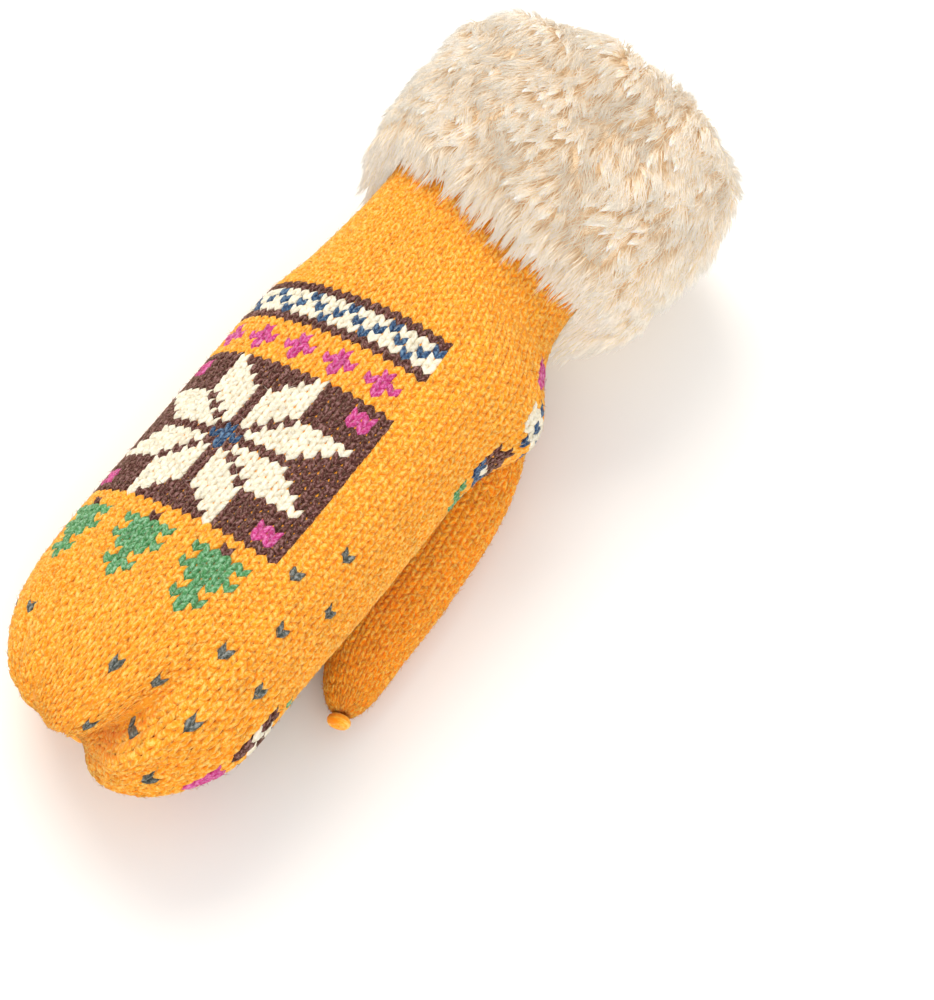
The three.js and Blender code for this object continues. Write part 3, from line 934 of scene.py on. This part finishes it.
def fibre_prototype(stations):
    """One bundle of fibres, closed at its root and drawn to a point, in the same terms."""
    deselect()
    bpy.ops.mesh.primitive_circle_add(vertices=3, radius=1, fill_type="NGON")
    fibre = bpy.context.object
    bpy.ops.object.mode_set(mode="EDIT")
    bpy.ops.mesh.select_all(action="SELECT")
    for _ in range(stations - 1):
        bpy.ops.mesh.extrude_region_move(TRANSFORM_OT_translate={"value": (0, 0, 1)})
    bpy.ops.mesh.merge(type="CENTER")
    bpy.ops.mesh.select_all(action="SELECT")
    bpy.ops.mesh.normals_make_consistent(inside=False)
    bpy.ops.mesh.quads_convert_to_tris()
    bpy.ops.object.mode_set(mode="OBJECT")
    points, triangles = take_points(fibre)
    bpy.data.objects.remove(fibre)
    return points[:, 2] / (stations - 1), np.arctan2(points[:, 1], points[:, 0]), triangles


def run_map(stations, around, count):
    """The pattern's map along and round each copy of a strand, set off by a random amount."""
    run = np.stack([stations, around / TAU + 0.5], -1)
    return (run[None] + 5 * rng.random((count, 1, 2))).reshape(-1, 2)


def yarn_colours(letters, ground):
    """The colours of stitches from their letters, with the ground yarn's own colour."""
    palette = {letter: np.array(linear(colour)[:3]) for letter, colour in YARN_HEX.items()}
    palette["."] = np.array(ground[:3])
    return np.stack([palette[letter] for letter in letters])


class Fabric:
    """A knitted tube: the smooth surface that it is measured on, the surface that its stitches lie
    on, and where its wales and courses run."""

    def __init__(self, smooth, laid_on, section, span, wales, course):
        self.smooth, self.laid_on = smooth, laid_on
        self.wales, self.course = wales, course
        self.turns, self.shares = wale_turns(*section)
        self.place_of, length = place_table(smooth, *span, 1.0)
        self.courses = int(length / course)

    def turn(self, column):
        """The turn round the tube at a place counted in wales."""
        return np.interp(column % self.wales / self.wales, self.shares, self.turns)

    def at(self, surface, row, column, inset):
        """Points of a surface at places counted in courses and wales."""
        return surface(self.place_of(row * self.course), self.turn(column), inset)

    def stitches(self):
        """The course and wale of every stitch, and its middle."""
        rows, columns = np.divmod(np.arange(self.courses * self.wales), self.wales)
        return rows, columns, self.at(self.smooth, rows + 0.5, columns + 0.5, 1.0)


def lay_legs(fabric, rows, columns, relief, yarn):
    """Both legs of each stitch. Returns points, triangles, colours and map."""
    along, around, triangles = spindle_prototype(5)
    count = len(rows)
    path = (LEG_ACROSS, LEG_UP, LEG_OUT, LEG_THICKNESS)
    across, up, out, radius = (np.interp(along, *table) for table in path)
    made, colours, maps = [], [], []
    for side in (-1, 1):
        jitter = rng.normal(0, 1, (4, count, 1))
        aside = side * across + 0.285 * radius * np.cos(around) * (1 + 0.05 * jitter[0])
        row = rows[:, None] + up + 0.05 * jitter[1]
        height = out + (0.5 + 0.03 * jitter[2]) * radius * np.sin(around)
        column = columns[:, None] + 0.5 + aside + 0.02 * jitter[3]
        made.append(fabric.at(fabric.laid_on, row, column, relief * (0.7 - height)))
        shade = (1 + 0.05 * rng.normal(0, 1, (count, 1, 1))) * np.ones((1, len(along), 1))
        # Painted shade and highlight: each leg's colour turns darker and more saturated where the
        # leg sinks into the knit, and paler at its top.
        depth = (1.28 - 0.42 * smoothstep(height, -0.3, 0.6))[..., None]
        colours.append(np.clip(yarn[:, None, :] ** depth * shade, 0, 1))
        run = np.stack([2.2 * along, np.broadcast_to(around / TAU + 0.5, along.shape)], -1)
        maps.append(np.broadcast_to(run, (count, len(along), 2)) + rng.random((count, 1, 2)))
    return (
        np.concatenate(made).reshape(-1, 3),
        copies(along, triangles, 2 * count),
        np.concatenate(colours).reshape(-1, 3),
        np.concatenate(maps).reshape(-1, 2),
    )


def lay_fuzz(fabric, rows, columns, yarn, hairs):
    """Loose fibres that stand off the stitches, some to each, in the same terms."""
    stations, around, triangles = fibre_prototype(2)
    rows, columns = (np.repeat(one, hairs)[:, None] for one in (rows, columns))
    yarn = np.repeat(yarn, hairs, axis=0)
    count = len(rows)
    t = stations[None]
    heading = rng.uniform(0, TAU, (count, 1))
    long = rng.uniform(0.9, 2.6, (count, 1))
    thin = rng.uniform(0.07, 0.12, (count, 1)) * (t < 1)
    across = long * np.cos(heading) * t - thin * np.cos(around) * np.sin(heading)
    along = long * np.sin(heading) * t + thin * np.cos(around) * np.cos(heading)
    column = columns + rng.random((count, 1)) + across / WALE_WIDTH
    row = rows + rng.random((count, 1)) + along / fabric.course
    inset = 0.2 - rng.uniform(0.4, 1.2, (count, 1)) * t - thin * np.sin(around)
    # Painted highlight: each loose fibre takes a paler copy of its stitch's colour, paler by a
    # random amount.
    colours = np.repeat(yarn[:, None] ** rng.uniform(0.55, 0.9, (count, 1, 1)), len(t[0]), axis=1)
    return (
        fabric.at(fabric.laid_on, row, column, inset).reshape(-1, 3),
        copies(stations, triangles, count),
        colours.reshape(-1, 3),
        run_map(stations, around, count),
    )


def knitted(name, laid, stands_for):
    """One piece of the knit from its points, triangles, colours and map."""
    points, triangles, colours, run = laid
    made = joined(name, placed(points), triangles, colours, run)
    yarn = material("worsted_wool_knitted", wool_yarn, (1, 1, 1))
    declare(made, yarn, "mustard_knit", stands_for)


def place_table(surface, first, last, inset):
    """Distance along a surface by place, as a function that gives the place at a distance."""
    places = np.linspace(first, last, 500)
    turns = np.linspace(0, TAU, 24, endpoint=False)
    points = surface(places[:, None], turns[None], inset)
    steps = np.linalg.norm(np.diff(points, axis=0), axis=-1).mean(axis=1)
    far = np.concatenate([[0], np.cumsum(steps)])
    return lambda distance: np.interp(distance, far, places), far[-1]


# Where the hand is past its slanted tip, so that its sections stand square
PAST_TIP = 58.0


def section_radii():
    """The hand's outline as radii by place along the hand and by angle round its middle."""
    along = np.linspace(PAST_TIP, HAND_LENGTH + KNIT_TUCK - 1, 60)
    angles = np.linspace(-math.pi, math.pi, 181)
    turns = np.linspace(0, TAU, 720, endpoint=False)
    fine = np.linspace(0.2, 1, 600)
    places = np.interp(along, column(HAND_COURSE[:, 0], fine), fine)
    table = []
    for y, place in zip(along, places):
        points = hand_point(place, turns, 0)
        x, z = points[:, 0], points[:, 2] - middle_height(y)
        angle = np.arctan2(z, x)
        order = np.argsort(angle)
        table.append(np.interp(angles, angle[order], np.hypot(x, z)[order], period=TAU))
    return along, angles, np.array(table)


def depth_in_hand(points):
    """How deep points lie inside the hand's outline, in millimetres."""
    along, angles, table = section_radii()
    x, y = points[..., 0], points[..., 1]
    z = points[..., 2] - middle_height(y)
    angle = np.arctan2(z, x)
    i = np.clip(np.searchsorted(along, y) - 1, 0, len(along) - 2)
    f = np.clip((y - along[i]) / (along[i + 1] - along[i]), 0, 1)
    k = np.clip(((angle + math.pi) / (angles[1] - angles[0])).astype(int), 0, len(angles) - 1)
    radius = table[i, k] * (1 - f) + table[i + 1, k] * f
    return radius - np.hypot(x, z)


def depth_in_thumb(points):
    """How deep points lie inside the thumb's outline, in millimetres."""
    line, far = THUMB_MIDDLE
    flat = points.reshape(-1, 3)
    nearest = np.argmin(((flat[:, None, :] - line[None]) ** 2).sum(-1), axis=1)
    away = np.linalg.norm(flat - line[nearest], axis=1)
    share = far[nearest] / THUMB_LENGTH
    girth = np.interp(share, THUMB_SECTIONS[:8, 0], THUMB_SECTIONS[:8, 1])
    girth = np.where(share > 0.999, 0, girth)
    return (girth * (THUMB_WIDTH + THUMB_DEPTH) / 4 - away).reshape(points.shape[:-1])


class MITTEN_OT_knit_walls(bpy.types.Operator):
    """Makes the knit's ground under the stitches and its reverse side in the hollows"""

    bl_idname = "mitten.knit_walls"
    bl_label = "Knit walls"

    def execute(self, context):
        # Painted shade: the wall's low tone is a deeper orange than the ground yarn, for the shade
        # in the gaps between stitches.
        wall = material("wool_reverse_knitted", knitted_wall, "#E8901E", "#F8A733")
        for name, stands_for in (("hand_wall", "hand"), ("thumb_wall", "thumb")):
            deselect()
            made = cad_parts[stands_for].copy()
            made.data = made.data.copy()
            made.name = name
            made.data.name = name
            context.scene.collection.objects.link(made)
            made.select_set(True)
            context.view_layer.objects.active = made
            bpy.ops.object.mode_set(mode="EDIT")
            bpy.ops.mesh.select_all(action="SELECT")
            bpy.ops.mesh.remove_doubles(threshold=0.01 * MM)
            bpy.ops.object.mode_set(mode="OBJECT")
            sink = made.modifiers.new("sink", "DISPLACE")
            sink.strength = -0.8 * MM
            sink.mid_level = 0
            bpy.ops.object.modifier_apply(modifier=sink.name)
            bpy.ops.object.shade_smooth_by_angle(angle=math.radians(50))
            declare(made, wall, "mustard_knit", stands_for)
        return {"FINISHED"}


class MITTEN_OT_hand_stitches(bpy.types.Operator):
    """Knits the hand from its tip up under the cuff, the back and the palm as two pieces"""

    bl_idname = "mitten.hand_stitches"
    bl_label = "Hand stitches"

    def execute(self, context):
        knit = context.scene.mitten_knit
        section = (HAND_WIDTH / 2, HAND_DEPTH / 2, SECTION_POWER)
        course = knit.course / MM
        fabric = Fabric(hand_point, pleated_point, section, (0.07, 1), knit.wales, course)
        rows, columns, middle = fabric.stitches()
        lip = HAND_LENGTH + lip_draw(fabric.turn(columns + 0.5)) * CUFF_HEIGHT
        kept = (middle[:, 1] < lip + UNDER_LIP) & (depth_in_thumb(middle) < STITCH_OVERLAP)
        rows, columns = rows[kept], columns[kept]
        chart = hand_chart(fabric.courses, knit.wales, knit.first_motif_course)
        yarn = yarn_colours(chart[rows, columns], knit.ground)
        back = columns < knit.wales // 2
        for name, these in (("knit_back", back), ("knit_palm", ~back)):
            legs = lay_legs(fabric, rows[these], columns[these], knit.relief / MM, yarn[these])
            knitted(name, legs, "hand")
        knitted("hand_fuzz", lay_fuzz(fabric, rows, columns, yarn, 1), "hand")
        return {"FINISHED"}


class MITTEN_OT_thumb_stitches(bpy.types.Operator):
    """Knits the thumb from its tip up to the hand"""

    bl_idname = "mitten.thumb_stitches"
    bl_label = "Thumb stitches"

    def execute(self, context):
        knit = context.scene.mitten_knit
        section = (THUMB_WIDTH / 2, THUMB_DEPTH / 2, 2)
        wales, course = knit.thumb_wales, knit.course / MM
        fabric = Fabric(thumb_point, thumb_point, section, (0.94, 0.0), wales, course)
        rows, columns, middle = fabric.stitches()
        kept = depth_in_hand(middle) < STITCH_OVERLAP
        rows, columns = rows[kept], columns[kept]
        # Painted shade: the thumb's ground colour is deepened.
        yarn = yarn_colours(["."] * len(rows), np.array(knit.ground[:3]) ** THUMB_PAINTED_SHADE)
        knitted("knit_thumb", lay_legs(fabric, rows, columns, knit.relief / MM, yarn), "thumb")
        knitted("thumb_fuzz", lay_fuzz(fabric, rows, columns, yarn, 2), "thumb")
        return {"FINISHED"}


class MITTEN_OT_tip_ties(bpy.types.Operator):
    """Winds the yarn that draws both tips together"""

    bl_idname = "mitten.tip_ties"
    bl_label = "Tip ties"

    def execute(self, context):
        yarn = material("pale_wool_tied", wool_yarn, (1.1, 1.15, 1.3))
        for name, stands_for in (("tip_tie", "tip_knot"), ("thumb_tie", "thumb_knot")):
            low, high = (np.array(corner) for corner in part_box(stands_for))
            middle, size = (low + high) / 2, high - low
            axis = mathutils.Vector((0, 1, 0))
            if stands_for == "thumb_knot":
                line = on_line(THUMB_MIDDLE, np.array([THUMB_LENGTH - 3, THUMB_LENGTH]))
                axis = mathutils.Vector(line[1] - line[0]).normalized()
            radius = max(size[0], size[2]) / 4
            deselect()
            turned = mathutils.Vector((0, 0, 1)).rotation_difference(axis).to_euler()
            bpy.ops.mesh.primitive_torus_add(
                location=tuple(middle),
                rotation=tuple(turned),
                major_segments=36,
                minor_segments=12,
                major_radius=1.02 * radius,
                minor_radius=0.98 * radius,
            )
            made = context.object
            made.name = made.data.name = name
            bpy.ops.object.transform_apply(location=True, rotation=True, scale=True)
            bpy.ops.object.shade_smooth()
            count = len(made.data.vertices)
            layer = made.data.color_attributes.new("yarn", "FLOAT_COLOR", "POINT")
            layer.data.foreach_set("color", np.tile(context.scene.mitten_knit.ground, count))
            if made.data.uv_layers:
                made.data.uv_layers[0].name = "run"
            declare(made, yarn, "pale_yarn", stands_for)
        return {"FINISHED"}


class MITTEN_OT_cuff_backing(bpy.types.Operator):
    """Makes the plush's backing: out over the knit, round the rim and down inside as the lining"""

    bl_idname = "mitten.cuff_backing"
    bl_label = "Cuff backing"

    def execute(self, context):
        sections, around, outer = 96, 40, 22
        deselect()
        bpy.ops.mesh.primitive_torus_add(
            major_segments=sections, minor_segments=around, major_radius=0.06, minor_radius=0.02
        )
        made = context.object
        made.name = made.data.name = "cuff_backing"
        inside = -KNIT_WALL - 0.3
        lining = inside - LINING_DEPTH
        sunk = 1.6
        turns = np.linspace(0, TAU, sections, endpoint=False)
        far = np.linspace(0, PILE_LINE[1][-1], outer)
        shell = pile_point(PILE_LINE, 1, far[None], turns[:, None], np.full((1, outer), -sunk))
        down = [0.7 * CUFF_HEIGHT, 0.52 * CUFF_HEIGHT, KNIT_TUCK, 0.15 * CUFF_HEIGHT, 0]
        deep = [-0.35 * LINING_REACH, -0.7 * LINING_REACH, -LINING_REACH]
        inner_rows = (
            [(0.9 * CUFF_HEIGHT, lining * 0.5 + 1.5), (0.82 * CUFF_HEIGHT, lining * 0.86 + sunk)]
            + [(rise, lining + sunk) for rise in down + deep]
            + [(rise, inside) for rise in deep[::-1] + [0, KNIT_TUCK / 2, KNIT_TUCK + 0.3]]
            + [(KNIT_TUCK + 0.3, 0.3), (KNIT_TUCK / 2 + 4, 0.3)]
        )
        rises, stands = np.array(inner_rows).T
        inner = cuff_point(rises[None], stands[None], turns[:, None])
        ring = np.concatenate([shell, inner], axis=1)
        made.data.vertices.foreach_set("co", placed(ring).astype(np.float32).ravel())
        made.data.update()
        deselect()
        made.select_set(True)
        context.view_layer.objects.active = made
        bpy.ops.object.mode_set(mode="EDIT")
        bpy.ops.mesh.select_all(action="SELECT")
        bpy.ops.mesh.normals_make_consistent(inside=False)
        bpy.ops.object.mode_set(mode="OBJECT")
        bpy.ops.object.shade_smooth()
        backing = material("plush_backing_knitted", plush_backing)
        declare(made, backing, "cream_plush", "plush_cuff")
        return {"FINISHED"}


def smooth_field(turn, far, seed):
    """A slow wavy field over the cuff, about -1 to 1."""
    waves = np.random.default_rng(seed)
    value = 0
    for _ in range(7):
        k, m = waves.integers(2, 11), waves.uniform(0.05, 0.32)
        value = value + np.sin(k * turn + m * far * waves.choice([-1, 1]) + waves.uniform(0, TAU))
    return value / 2.6


def fade(t):
    """How far a strand has faded from its root's painted shade to its tip's painted highlight."""
    return smoothstep(t, 0.1, 0.95)[..., None]


def sown(rows, in_row):
    """Strands at random in even rows round the cuff: row, how far down in rows, and turn."""
    row, place = np.divmod(np.arange(rows * in_row), in_row)
    down = row + rng.uniform(0, 1, len(row))
    turn = (place + rng.uniform(0, 1, len(row))) * TAU / in_row
    return row, down[:, None], turn[:, None]


def grow(name, look, prototype, points, mix, shade):
    """One piece of pile from its strands' points, coloured from the roots' painted shade to the
    tips' painted highlight.
    """
    stations, around, triangles = prototype
    plush = bpy.context.scene.mitten_plush
    root, tip = np.array(plush.root[:3]), np.array(plush.tip[:3])
    made = joined(
        name,
        placed(points.reshape(-1, 3)),
        copies(stations, triangles, len(points)),
        np.clip((root * (1 - mix) + tip * mix) * shade, 0, 1).reshape(-1, 3),
        run_map(stations, around, len(points)),
    )
    declare(made, look, "cream_plush", "plush_cuff")


class Locks:
    """The locks of the pile: where each one stands, and how it lies."""

    def __init__(self, count):
        lip = HANG_LINE[1][-1] - LIP_UNDERSIDE * CUFF_HEIGHT
        rows = int(math.sqrt(count * lip / CUFF_GIRTH))
        in_row = count // rows
        row, place = np.divmod(np.arange(rows * in_row), in_row)
        self.count = n = len(row)
        self.far = (row + 0.5 + rng.uniform(-0.5, 0.5, n)) * lip / rows
        self.turn = (place + 0.5 * (row % 2) + rng.uniform(-0.45, 0.45, n)) * TAU / in_row
        swing, lift = (smooth_field(self.turn, self.far, seed) for seed in (3, 5))
        self.swing = LOCK_SWING * swing + rng.normal(0, SWING_CHANCE, n)
        self.lift = LOCK_LIFT * lift + rng.normal(0, LIFT_CHANCE, n)
        self.size = rng.uniform(0.75, 1.2, n)
        self.phase = rng.uniform(0, TAU, n)
        # Painted light and shade: locks that lift higher are painted lighter and those that lie low
        # darker, on top of each lock's random tone.
        self.tone = np.clip(rng.normal(1, 0.05, n) * (1 + 0.06 * self.lift), 0.82, 1.12)

    def laid(self, each, t, start_far, start_side, long, across, up, sway):
        """Points of strands that lie along their locks."""
        wave = 1.1 * np.sin(self.phase[each, None] + 4.2 * t) * t
        down = self.far[each, None] + start_far + long * t * 0.85
        side = start_side + (self.swing[each, None] + sway) * long * t + wave + across
        proud = up + self.lift[each, None] * (0.2 + 0.8 * t)
        return pile_point(HANG_LINE, -1, down, self.turn[each, None] + side / PILE_ARC, proud)

    def shade(self, each):
        """The lock's tone, random and painted lighter where the lock lifts, with a little of each
        strand's.
        """
        return (self.tone[each] * rng.normal(1, 0.03, len(each)))[:, None, None]


class MITTEN_OT_plush_pile(bpy.types.Operator):
    """Grows the cuff's pile in locks that lie towards the fingers, and the lining's short pile"""

    bl_idname = "mitten.plush_pile"
    bl_label = "Plush pile"

    def execute(self, context):
        plush = context.scene.mitten_plush
        locks = Locks(plush.locks)
        strand = fibre_prototype(3)
        fibre = material("polyester_plush_pile", plush_fibre, 0.0, 0.52)
        self.bodies(plush, locks)
        self.strands(plush, locks, fibre, strand)
        self.under_lip(fibre, strand)
        self.lining(fibre, strand)
        return {"FINISHED"}

    def bodies(self, plush, locks):
        """The soft bodies of the locks, under their strands."""
        body = spindle_prototype(6)
        t, around = body[0][None], body[1]
        each = np.arange(locks.count)
        long = (plush.fibre_length / MM * locks.size)[:, None]
        broad = rng.uniform(1.5, 2.3, (locks.count, 1)) * np.interp(t, *BODY_FULLNESS)
        up = np.interp(t, *BODY_UP) + 0.45 * broad * np.sin(around)
        points = locks.laid(each, t, 0, 0, long, broad * np.cos(around), up, 0)
        # Painted shade and highlight, as on the strands: darker towards the root, paler towards the
        # tip.
        mix = (0.3 + 0.6 * smoothstep(t, 0.1, 0.8))[..., None]
        look = material("polyester_plush_locks", plush_fibre, 1.0, 0.2)
        grow("pile_locks", look, body, points, mix, locks.shade(each))

    def strands(self, plush, locks, fibre, strand):
        """The strands over the locks, which gather to the locks' tips, as three thirds round."""
        t, around = strand[0][None], strand[1]
        each = np.repeat(np.arange(locks.count), plush.fibres_in_lock)
        count = len(each)
        gather = 1 - 0.82 * t
        long = (plush.fibre_length / MM * locks.size[each] * rng.uniform(0.7, 1.2, count))[:, None]
        thick = plush.fibre_width / MM / 2 * rng.uniform(0.7, 1.25, (count, 1))
        radius = thick * (1 - 0.3 * t) * (t < 1)
        up = np.interp(t, *STRAND_UP) + rng.normal(0, 0.45, (count, 1)) * t
        points = locks.laid(
            each,
            t,
            rng.normal(0, 1.5, (count, 1)) * gather,
            rng.normal(0, 1.35, (count, 1)) * gather,
            long,
            radius * np.cos(around),
            up + radius * np.sin(around),
            rng.normal(0, 0.17, (count, 1)),
        )
        third = ((locks.turn[each] / TAU + 0.1) % 1 * 3).astype(int)
        for k, name in enumerate(("pile_over", "pile_outer", "pile_under")):
            these = third == k
            grow(name, fibre, strand, points[these], fade(t), locks.shade(each[these]))

    def under_lip(self, fibre, strand):
        """The pile on the lip's underside, which hangs down over the knit in locks of its own."""
        t, around = strand[0][None], strand[1]
        row, down, turn = sown(10, 420)
        count = len(row)
        at = on_line(PILE_LINE, 1.0 + 1.35 * down)
        cell = np.floor(turn * PILE_ARC / LIP_LOCK)
        lock = cell[:, 0].astype(int) + 100 * (row // 3)
        longer, proud_and_lit, swing = rng.uniform(-1, 1, (3, lock.max() + 1))[:, lock, None]
        long = rng.uniform(6, 10, (count, 1)) * (1 + 0.25 * longer)
        gather = 0.75 * ((cell + 0.5) * LIP_LOCK - turn * PILE_ARC) + 0.3 * swing * long
        drawn = lip_draw(turn) * (CUFF_HEIGHT - at[..., 0])
        radius = 0.26 * rng.uniform(0.75, 1.25, (count, 1)) * (1 - 0.4 * t**2) * (t < 1)
        side = (rng.normal(0, 0.6, (count, 1)) + gather) * t + radius * np.cos(around)
        stand = at[..., 1] * fullness(turn) + (2.2 + 0.8 * proud_and_lit) * t - 3.2 * t**2
        stand = np.maximum(stand + radius * np.sin(around), 0.4)
        points = cuff_point(at[..., 0] + drawn + 1.5 - long * t, stand, turn + side / LIP_ARC)
        # Painted light: a lock that stands further out from the lip is also painted lighter.
        shade = rng.normal(0.97, 0.04, (count, 1, 1)) * (1 + 0.06 * proud_and_lit[..., None])
        grow("pile_lip", fibre, strand, points, fade(t), shade)

    def lining(self, fibre, strand):
        """The shorter pile from the rim down inside."""
        t, around = strand[0][None], strand[1]
        row, down, turn = sown(32, 140)
        count = len(row)
        rise = 0.985 * CUFF_HEIGHT - 2.3 * down - 0.85 * rng.uniform(6, 10, (count, 1)) * t
        wall = -KNIT_WALL - 0.3 - LINING_DEPTH
        face = np.interp(
            rise / CUFF_HEIGHT,
            [0.7, 0.82, 0.9, 0.96, 0.985],
            [wall + 1.0, 0.86 * wall + 1.0, 0.5 * wall + 1.0, 0.15 * wall + 0.5, 0.4],
        )
        radius = 0.3 * rng.uniform(0.75, 1.25, (count, 1)) * (1 - 0.3 * t) * (t < 1)
        up = np.interp(t, *LINING_UP) + rng.normal(0, 0.5, (count, 1)) * t
        side = rng.normal(0, 1.6, (count, 1)) * t + radius * np.cos(around)
        stand = face - up + radius * np.sin(around)
        points = cuff_point(rise, stand, turn + side / LINING_ARC)
        grow("pile_lining", fibre, strand, points, fade(t), rng.normal(1, 0.04, (count, 1, 1)))


class MITTEN_OT_stage(bpy.types.Operator):
    """Sets the pale floor, the soft studio lights and the camera"""

    bl_idname = "mitten.stage"
    bl_label = "Stage"

    def execute(self, context):
        settings = context.scene.mitten_stage
        deselect()
        bpy.ops.mesh.primitive_plane_add(size=6, location=(0, 0, 0))
        floor = context.object
        floor.name = floor.data.name = "floor"
        floor.data.materials.append(painted_board("painted_board", settings.floor))

        world = bpy.data.worlds.new("soft_room")
        world.use_nodes = True
        background = world.node_tree.nodes["Background"]
        background.inputs["Color"].default_value = linear("#F3F5F8")
        background.inputs["Strength"].default_value = 0.95
        context.scene.world = world
        # Each light's place and size in metres, its watts and its colour
        lights = [
            ("window", (-0.7, 0.5, 1.1), 0.9, 13.0, "#FFF8EC"),
            ("fill", (0.8, -0.9, 0.9), 1.2, 8.0, "#FFF6EA"),
        ]
        for name, where, size, power, colour in lights:
            deselect()
            bpy.ops.object.light_add(type="AREA", location=where)
            light = context.object
            light.name = name
            light.data.size = size
            light.data.energy = power
            light.data.color = linear(colour)[:3]
            towards = mathutils.Vector((0, 0, 0.03)) - mathutils.Vector(where)
            light.rotation_euler = towards.to_track_quat("-Z", "Y").to_euler()

        azimuth, elevation, distance = math.radians(37.6), math.radians(64), 1.0504
        target = mathutils.Vector(placed((0, 93, 30)))
        out = mathutils.Vector(
            (
                math.sin(azimuth) * math.cos(elevation),
                -math.cos(azimuth) * math.cos(elevation),
                math.sin(elevation),
            )
        )
        where = target + out * distance
        bpy.ops.object.camera_add(location=where)
        camera = context.object
        aimed = (target - where).to_track_quat("-Z", "Y").to_matrix()
        panned = mathutils.Matrix.Rotation(-math.radians(settings.pan), 3, "Y")
        camera.rotation_euler = (aimed @ panned).to_euler()
        camera.data.lens = settings.lens
        camera.data.sensor_width = 36
        camera.data.clip_end = 20
        context.scene.camera = camera
        context.scene.view_settings.view_transform = "Standard"
        return {"FINISHED"}


class MITTEN_PT_panel(bpy.types.Panel):
    """Shows the mitten's settings and the buttons that make its pieces"""

    bl_idname = "MITTEN_PT_panel"
    bl_label = "Mitten"
    bl_space_type = "VIEW_3D"
    bl_region_type = "UI"
    bl_category = "Mitten"

    def draw(self, context):
        for group in ("mitten_knit", "mitten_plush", "mitten_stage"):
            settings = getattr(context.scene, group)
            for name in settings.__annotations__:
                self.layout.prop(settings, name)
        for operator in OPERATORS:
            self.layout.operator(operator.bl_idname)


OPERATORS = (
    MITTEN_OT_stage,
    MITTEN_OT_knit_walls,
    MITTEN_OT_hand_stitches,
    MITTEN_OT_thumb_stitches,
    MITTEN_OT_tip_ties,
    MITTEN_OT_cuff_backing,
    MITTEN_OT_plush_pile,
)
GROUPS = (
    ("mitten_knit", MittenKnitSettings),
    ("mitten_plush", MittenPlushSettings),
    ("mitten_stage", MittenStageSettings),
)


def register():
    """Registers the settings, the operators and the panel."""
    for name, group in GROUPS:
        bpy.utils.register_class(group)
        setattr(bpy.types.Scene, name, bpy.props.PointerProperty(type=group))
    for operator in OPERATORS:
        bpy.utils.register_class(operator)
    bpy.utils.register_class(MITTEN_PT_panel)


def unregister():
    """Takes all of them back out."""
    bpy.utils.unregister_class(MITTEN_PT_panel)
    for operator in reversed(OPERATORS):
        bpy.utils.unregister_class(operator)
    for name, group in reversed(GROUPS):
        delattr(bpy.types.Scene, name)
        bpy.utils.unregister_class(group)


def main():
    """Makes the whole mitten and its stage."""
    register()
    bpy.ops.mitten.stage()
    bpy.ops.mitten.knit_walls()
    bpy.ops.mitten.hand_stitches()
    bpy.ops.mitten.thumb_stitches()
    bpy.ops.mitten.tip_ties()
    bpy.ops.mitten.cuff_backing()
    bpy.ops.mitten.plush_pile()


if __name__ == "__main__":
    main()
